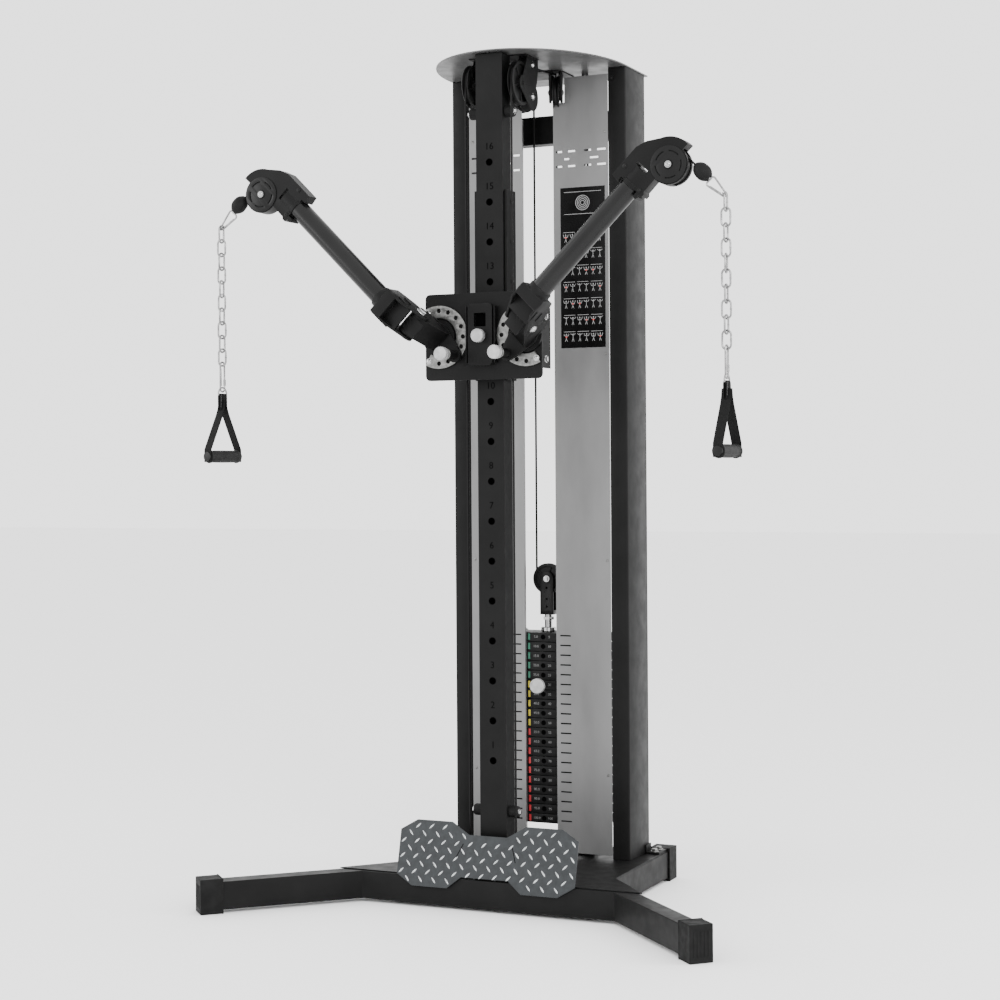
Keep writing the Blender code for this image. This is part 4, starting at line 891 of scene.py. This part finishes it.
def build_arm(side):
    """The swinging arm: forked ears with webs and ribs, collar, cuff, tube and the swing bolt."""
    place = arm_matrix(side)
    body = f"{side}_arm"
    ear = [*arc(SWING_AXIS, 0.026, 90, 248, 20), (0.078, -0.512), (0.118, -0.5135), (0.122, -0.508),
           (0.122, -0.461), (0.116, -0.456), (0.078, -0.430)]
    ears = [plate(ear, span, "Z", bevel=0.0014) for span in ((0.0310, 0.0370), (-0.0370, -0.0310))]
    collar = block((0.092, 0.124), (ARM_Y - 0.029, ARM_Y + 0.029), (-0.0368, 0.0368), 0.0045, 3)
    cuff = turned([(0.0253, 0.118), (0.0290, 0.120), (0.0290, 0.136), (0.0275, 0.1385), (0.0253, 0.1385)],
                  "X", 56, ring=True)
    webs = [block((start, 0.093), (y, y + 0.0030), (-0.0312, 0.0312), 0.0006)
            for start, y in ((0.050, -0.4910), (0.060, -0.4630))]
    ribs = [block((0.066, 0.093), (y - 0.0015, y + 0.0015), z, 0.0006) for y in (-0.470, -0.500)
            for z in ((0.0368, 0.0395), (-0.0395, -0.0368))]
    fork = merged([*ears, collar, moved(cuff, at(0, ARM_Y, 0)), *webs, *ribs])
    show(f"{side}_arm_fork", moved(fork, place), "frame", body, [body])
    pipe = turned([(0.0225, 0.100), (0.0250, 0.100), (0.0250, 0.4592), (0.0244, 0.4600), (0.0225, 0.4600)],
                  "X", 64, ring=True)
    show(f"{side}_arm_tube", moved(pipe, place @ at(0, ARM_Y, 0)), "tube", body)
    bolt = merged([rod(0.0068, -0.0365, 0.0365), moved(hex_bolt(0.0105, 0.0075), at(0, 0, 0.0370)),
                   moved(dome_bolt(0.0095, 0.0062), at(0, 0, -0.0370) @ Matrix.Rotation(math.pi, 4, "X"))])
    show(f"{side}_swing_bolt", moved(bolt, place @ at(*SWING_AXIS)), "chrome", body)


def build_head(side):
    """Housing with a guard, a slotted cover over the wheel on each face, and the wheel's bolt."""
    place = arm_matrix(side)
    body = f"{side}_head"
    refined(body, "frame", body)
    covers, nuts = [], []
    slots = [arc((0, 0), 0.0330, start, start + 48, 10) + arc((0, 0), 0.0300, start + 48, start, 10)
             for start in range(66, 426, 72)]
    boss = turned([(0, 0), (0.0115, 0), (0.0105, 0.0020), (0, 0.0020)])
    for sign in SIGNS:
        outward = facing((0, sign, 0))
        face = ARM_Y + sign * 0.0190
        tip = face + sign * 0.0022
        cover = plate(circle((0, 0), 0.0440, 72), sorted((face, tip)), "Y", slots, 0.0005)
        covers.append(moved(cover, at(WHEEL_U, 0, WHEEL_V)))
        covers.append(moved(boss, at(WHEEL_U, tip, WHEEL_V) @ outward))
        nuts.append(moved(dome_bolt(0.0062, 0.0048), at(WHEEL_U, tip + sign * 0.0018, WHEEL_V) @ outward))
    show(f"{side}_head_covers", moved(merged(covers), place), "nylon", body)
    show(f"{side}_head_bolt", moved(merged(nuts), place), "chrome", body)
    wheel = moved(pulley_mesh(0.0435, 0.040, "Y"), at(WHEEL_U, ARM_Y, WHEEL_V))
    show(f"{side}_head_wheel", moved(wheel, place), "nylon", f"{side}_head_pulley", [f"{side}_head_pulley"])
    cuff = turned([(0.0252, 0.4606), (0.0268, 0.4612), (0.0268, 0.4700), (0.0252, 0.4712)], "X", 56, ring=True)
    show(f"{side}_head_cuff", moved(cuff, place @ at(0, ARM_Y, 0)), "frame", body)
    lugs = [((0.4700, ARM_Y - 0.019, -0.029), (0, -1, 0)), ((0.4860, ARM_Y - 0.019, 0.038), (0, -1, 0))]
    show(f"{side}_head_lugs", moved(bolts(lugs, dome_bolt(0.0045, 0.0035)), place), "nylon", body)


def build_cable_end(side):
    """Cable, rubber ball stop with its sleeve, carabiner and shackle."""
    place = arm_matrix(side)
    u = WHEEL_U + 0.040
    stop = f"{side}_ball_stop"
    profile = [(0.0028, 0.0255), (0.0070, 0.0250), (0.0095, 0.0225), (0.0140, 0.0180), (0.0178, 0.0110),
               (0.0190, 0.0030), (0.0190, -0.0060), (0.0165, -0.0130), (0.0125, -0.0185), (0.0100, -0.0215),
               (0.0085, -0.0225), (0, -0.0225)]
    ball = moved(turned([(0, 0.0255), *profile], "Z", 56), at(u, ARM_Y, -0.109))
    show(f"{side}_ball_rubber", moved(ball, place), "rubber", stop, [stop])
    eye = [(u + 0.0045 * x, ARM_Y, -0.1330 + 0.0040 * z) for x, z in circle((0, 0), 1, 18)]
    sleeve = moved(rod(0.0040, -0.1335, -0.1300), at(u, ARM_Y, 0))
    show(f"{side}_ball_eye", moved(merged([tube(eye, 0.0011, cyclic=True), sleeve]), place), "chrome", stop)
    start, end = Vector((u, ARM_Y, -0.046)), Vector((u, ARM_Y, -0.086))
    points = [start.lerp(end, t / 16) for t in range(17)]
    thing = show(f"{side}_pull_cable", moved(tube(points, 0.0025), place), "cable", None)
    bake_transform(thing)
    build_carabiner(side, place)
    shackle = f"{side}_shackle"
    ring = [(LINK_U, y, z) for y, z in circle((ARM_Y, -0.1855), 0.0065, 30)]
    show(f"{shackle}_ring", moved(tube(ring, 0.0015, cyclic=True), place), "chain", shackle, [shackle])


def build_carabiner(side, place):
    """A bent-wire snap hook: a pear-shaped loop, and a gate with its pivot pin."""
    u, low, high = LINK_U, -0.1885, -0.1345
    wide, narrow, steps = 0.0125, 0.0045, 8
    ring = arc((0, low + narrow), narrow, 190, 350, steps)
    ring += arc((wide - 0.006, high - 0.006), 0.006, 0, 90, steps)
    ring += arc((0.006 - wide, high - 0.006), 0.006, 90, 180, steps)
    body = tube([(u + x, ARM_Y, z) for x, z in ring], 0.0023, cyclic=True)
    gate = tube([(u - 0.0040, ARM_Y, low + 0.012), (u - 0.0095, ARM_Y, high - 0.012)], 0.0018)
    pin = moved(rod(0.0014, -0.0030, 0.0030, "Y"), at(u - 0.0095, ARM_Y, high - 0.012))
    hook = f"{side}_carabiner"
    show(f"{hook}_hook", moved(merged([body, gate, pin]), place), "chain", hook, [hook])


def build_chain(side):
    """Ten welded links, each turned a quarter from the last."""
    low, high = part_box(f"{side}_chain")
    middle = (low + high) / 2
    count, wire = 10, 0.0024
    pitch = (high.z - low.z - 0.002) / count
    half, width = pitch / 2 + wire * 1.7, 0.0105
    ring = arc((0, half - width), width, 0, 180, 10) + arc((0, -half + width), width, 180, 360, 10)
    link = tube([(x, 0, z) for x, z in ring], wire, cyclic=True)
    weld = moved(rod(wire * 1.18, -0.0016, 0.0016), at(width, 0, 0))
    pieces = []
    for k in range(count):
        turn = Matrix.Rotation(math.radians(90 * ((k + 1) % 2) + 6 * math.sin(2.1 * k)), 4, "Z")
        place = at(middle.x, middle.y, high.z + 0.014 - pitch * (k + 0.5)) @ turn
        pieces += [moved(link, place), moved(weld, place)]
    show(f"{side}_chain_links", merged(pieces), "chain", f"{side}_chain", [f"{side}_chain"])


def build_handle(side):
    """Snap hook, ring, folded webbing, two side straps with stitching, and the grip on its core."""
    low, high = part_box(f"{side}_chain")
    top = Vector(((low.x + high.x) / 2, (low.y + high.y) / 2, low.z - 0.003))
    place = Matrix.Translation(top) @ Matrix.Rotation(math.radians(HANDLE_TURN[side]), 4, "Z")
    body = f"{side}_handle"
    clip = arc((0, 0.0180), 0.0072, 0, 180, 10) + arc((0, -0.0430), 0.0072, 180, 360, 10)
    hook = tube([(x, 0, z - 0.001) for x, z in clip], 0.0023, cyclic=True)
    gate = tube([(-0.0050, 0, 0.008), (-0.0042, 0, -0.037)], 0.0017)
    barrel = moved(rod(0.0036, -0.0360, -0.0200), at(0.0072, 0, 0))
    dee = [(0.0140, -0.0592), (0.0140, -0.0530), *arc((0, -0.0540), 0.0130, 10, 170, 12),
           (-0.0140, -0.0530), (-0.0140, -0.0592)]
    ring = tube([(x, 0, z) for x, z in dee], 0.0021, cyclic=True)
    hardware = moved(merged([hook, gate, barrel, ring]), place)
    show(f"{side}_handle_hook", hardware, "chain", body, [f"{side}_handle_strap"])
    web_top, web_end = -0.0575, -0.0985
    core = web_end - 0.119
    straps = []
    for sign in (1, -1):
        straps.append(strap([(0, 0, web_top + 0.001), (0, sign * 0.0030, web_top - 0.002),
                             (0, sign * 0.0036, web_top - 0.008), (0, sign * 0.0034, web_end)], "Y"))
    for sign in SIGNS:
        route = [(sign * 0.0016, 0, web_end + 0.024), (sign * 0.0050, 0, web_end + 0.004)]
        route += [(sign * (0.0060 + 0.0460 * t), 0, web_end - 0.002 - 0.099 * t)
                  for t in (0.1, 0.3, 0.5, 0.7, 0.9)]
        route += [(sign * x, 0, core + z) for x, z in ((0.0520, 0.018), (0.0525, 0.006), (0.0525, -0.014))]
        straps.append(strap(route, "X"))
    show(f"{side}_handle_webbing", moved(merged(straps), place), "webbing", body)
    stitch = block((-0.0004, 0.0004), (-0.0003, 0.0003), (-0.0012, 0.0012))
    stitches = [moved(stitch, at(x, y, web_top - 0.005 - 0.0038 * k))
                for x in (-0.0095, 0.0095) for k in range(8) for y in (-0.0049, 0.0049)]
    show(f"{side}_handle_stitches", moved(merged(stitches), place), "ink_grey", body)
    end = turned([(0, 0), (0.0125, 0), (0.0120, 0.0022), (0.0060, 0.0032), (0, 0.0032)], "Z", 36)
    ends = [moved(end, at(sign * 0.0540, 0, core) @ facing((sign, 0, 0))) for sign in SIGNS]
    axle = moved(rod(0.0048, -0.0545, 0.0545, "X"), at(0, 0, core))
    show(f"{side}_handle_core", moved(merged([axle, *ends]), place), "nylon", body)
    build_grip(side, place, core)


def strap(route, thin):
    """A 25 mm webbing strap, 2.4 mm thick, along a route; thin names the axis that its faces look along."""
    half_width, half_thickness = 0.0125, 0.0012
    axis = Vector((1, 0, 0)) if thin == "Y" else Vector((0, 1, 0))
    bm = bmesh.new()
    loops = []
    for i, point in enumerate(route):
        ahead = Vector(route[min(i + 1, len(route) - 1)]) - Vector(route[max(i - 1, 0)])
        normal = axis.cross(ahead).normalized() * half_thickness
        across = axis * half_width
        centre = Vector(point)
        corners = [centre - across - normal, centre + across - normal, centre + across + normal,
                   centre - across + normal]
        loops.append([bm.verts.new(c) for c in corners])
    for a, b in zip(loops, loops[1:]):
        for k in range(4):
            bm.faces.new((a[k], a[(k + 1) % 4], b[(k + 1) % 4], b[k]))
    bm.faces.new(loops[0])
    bm.faces.new(list(reversed(loops[-1])))
    bmesh.ops.recalc_face_normals(bm, faces=bm.faces[:])
    long_edges = [e for e in bm.edges if e.calc_face_angle(0.0) > math.radians(60)]
    bmesh.ops.bevel(bm, geom=long_edges, offset=0.0005, segments=2, affect="EDGES")
    return to_mesh(bm)


def build_grip(side, place, core):
    """A moulded rubber grip: crowned, with fine ribs and a flange at each end."""
    half = 0.0495
    profile = [(0.0055, half), (0.0165, half), (0.0170, half - 0.0010), (0.0170, half - 0.0040),
               (0.0155, half - 0.0055)]
    ribs = 22
    for k in range(ribs + 1):
        x = (half - 0.0065) * (1 - 2 * k / ribs)
        crown = 0.0148 + 0.0010 * (1 - (x / half) ** 2)
        profile += [(crown, x + 0.0008), (crown - 0.0007, x), (crown, x - 0.0008)]
    profile += [(0.0155, -half + 0.0055), (0.0170, -half + 0.0040), (0.0170, -half + 0.0010), (0.0165, -half),
                (0.0055, -half)]
    mesh = moved(turned(profile, "X", 48, ring=True), at(0, 0, core))
    show(f"{side}_grip_rubber", moved(mesh, place), "grip", f"{side}_grip", [f"{side}_grip"])


# ---------------------------------------------------------------- studio
def area_light(name, place, target, size, power):
    data = bpy.data.lights.new(name, "AREA")
    data.shape = "RECTANGLE"
    data.size, data.size_y = size
    data.energy = power
    thing = bpy.data.objects.new(name, data)
    bpy.context.scene.collection.objects.link(thing)
    thing.location = place
    thing.rotation_euler = (Vector(target) - Vector(place)).to_track_quat("-Z", "Y").to_euler()


def build_studio():
    """White surroundings, a pale floor and three area lights."""
    world = bpy.data.worlds.new("studio")
    bpy.context.scene.world = world
    world.use_nodes = True
    background = world.node_tree.nodes["Background"]
    background.inputs["Color"].default_value = (1, 1, 1, 1)
    background.inputs["Strength"].default_value = 2.4
    bm = bmesh.new()
    bmesh.ops.create_grid(bm, x_segments=1, y_segments=1, size=30.0)
    mesh = bpy.data.meshes.new("floor")
    bm.to_mesh(mesh)
    bm.free()
    floor = bpy.data.objects.new("floor", mesh)
    bpy.context.scene.collection.objects.link(floor)
    paint, _, shader = new_material("floor_paint")
    shader.inputs["Base Color"].default_value = (0.92, 0.92, 0.92, 1)
    shader.inputs["Roughness"].default_value = 0.9
    mesh.materials.append(paint)
    floor.location.z = -0.0005
    area_light("key", (3.2, -3.6, 3.2), (0, 0, 1.1), (2.0, 2.5), 160)
    area_light("right", (3.6, 0.6, 1.6), (0.2, 0, 1.1), (1.2, 2.6), 60)
    area_light("left", (-3.4, -2.6, 2.2), (0, 0, 1.2), (1.6, 2.4), 60)


def build_camera():
    """The photograph's camera: position, direction, a slight roll, lens and shift."""
    data = bpy.data.cameras.new("camera")
    data.sensor_width = 36.0
    data.lens = 71.58
    data.shift_x = 0.00104
    data.shift_y = -0.02654
    data.clip_end = 60.0
    camera = bpy.data.objects.new("camera", data)
    bpy.context.scene.collection.objects.link(camera)
    look = Matrix.Rotation(0.4248, 4, "Z") @ Matrix.Rotation(math.pi / 2, 4, "X")
    roll = Matrix.Rotation(-0.0066, 4, "Z")
    camera.matrix_world = at(2.0709, FRONT - 4.8383, 1.0896) @ look @ roll
    bpy.context.scene.camera = camera


def main():
    build_camera()
    build_studio()
    build_fixed_frame()
    build_post_numbers()
    build_panel_marks()
    build_board()
    build_footplate()
    build_bumpers()
    build_frame_bolts()
    build_top_pulleys()
    build_stack()
    build_stack_cables()
    build_carriage()
    for side in SIDES:
        build_hub(side)
        build_arm(side)
        build_head(side)
        build_cable_end(side)
        build_chain(side)
        build_handle(side)


main()
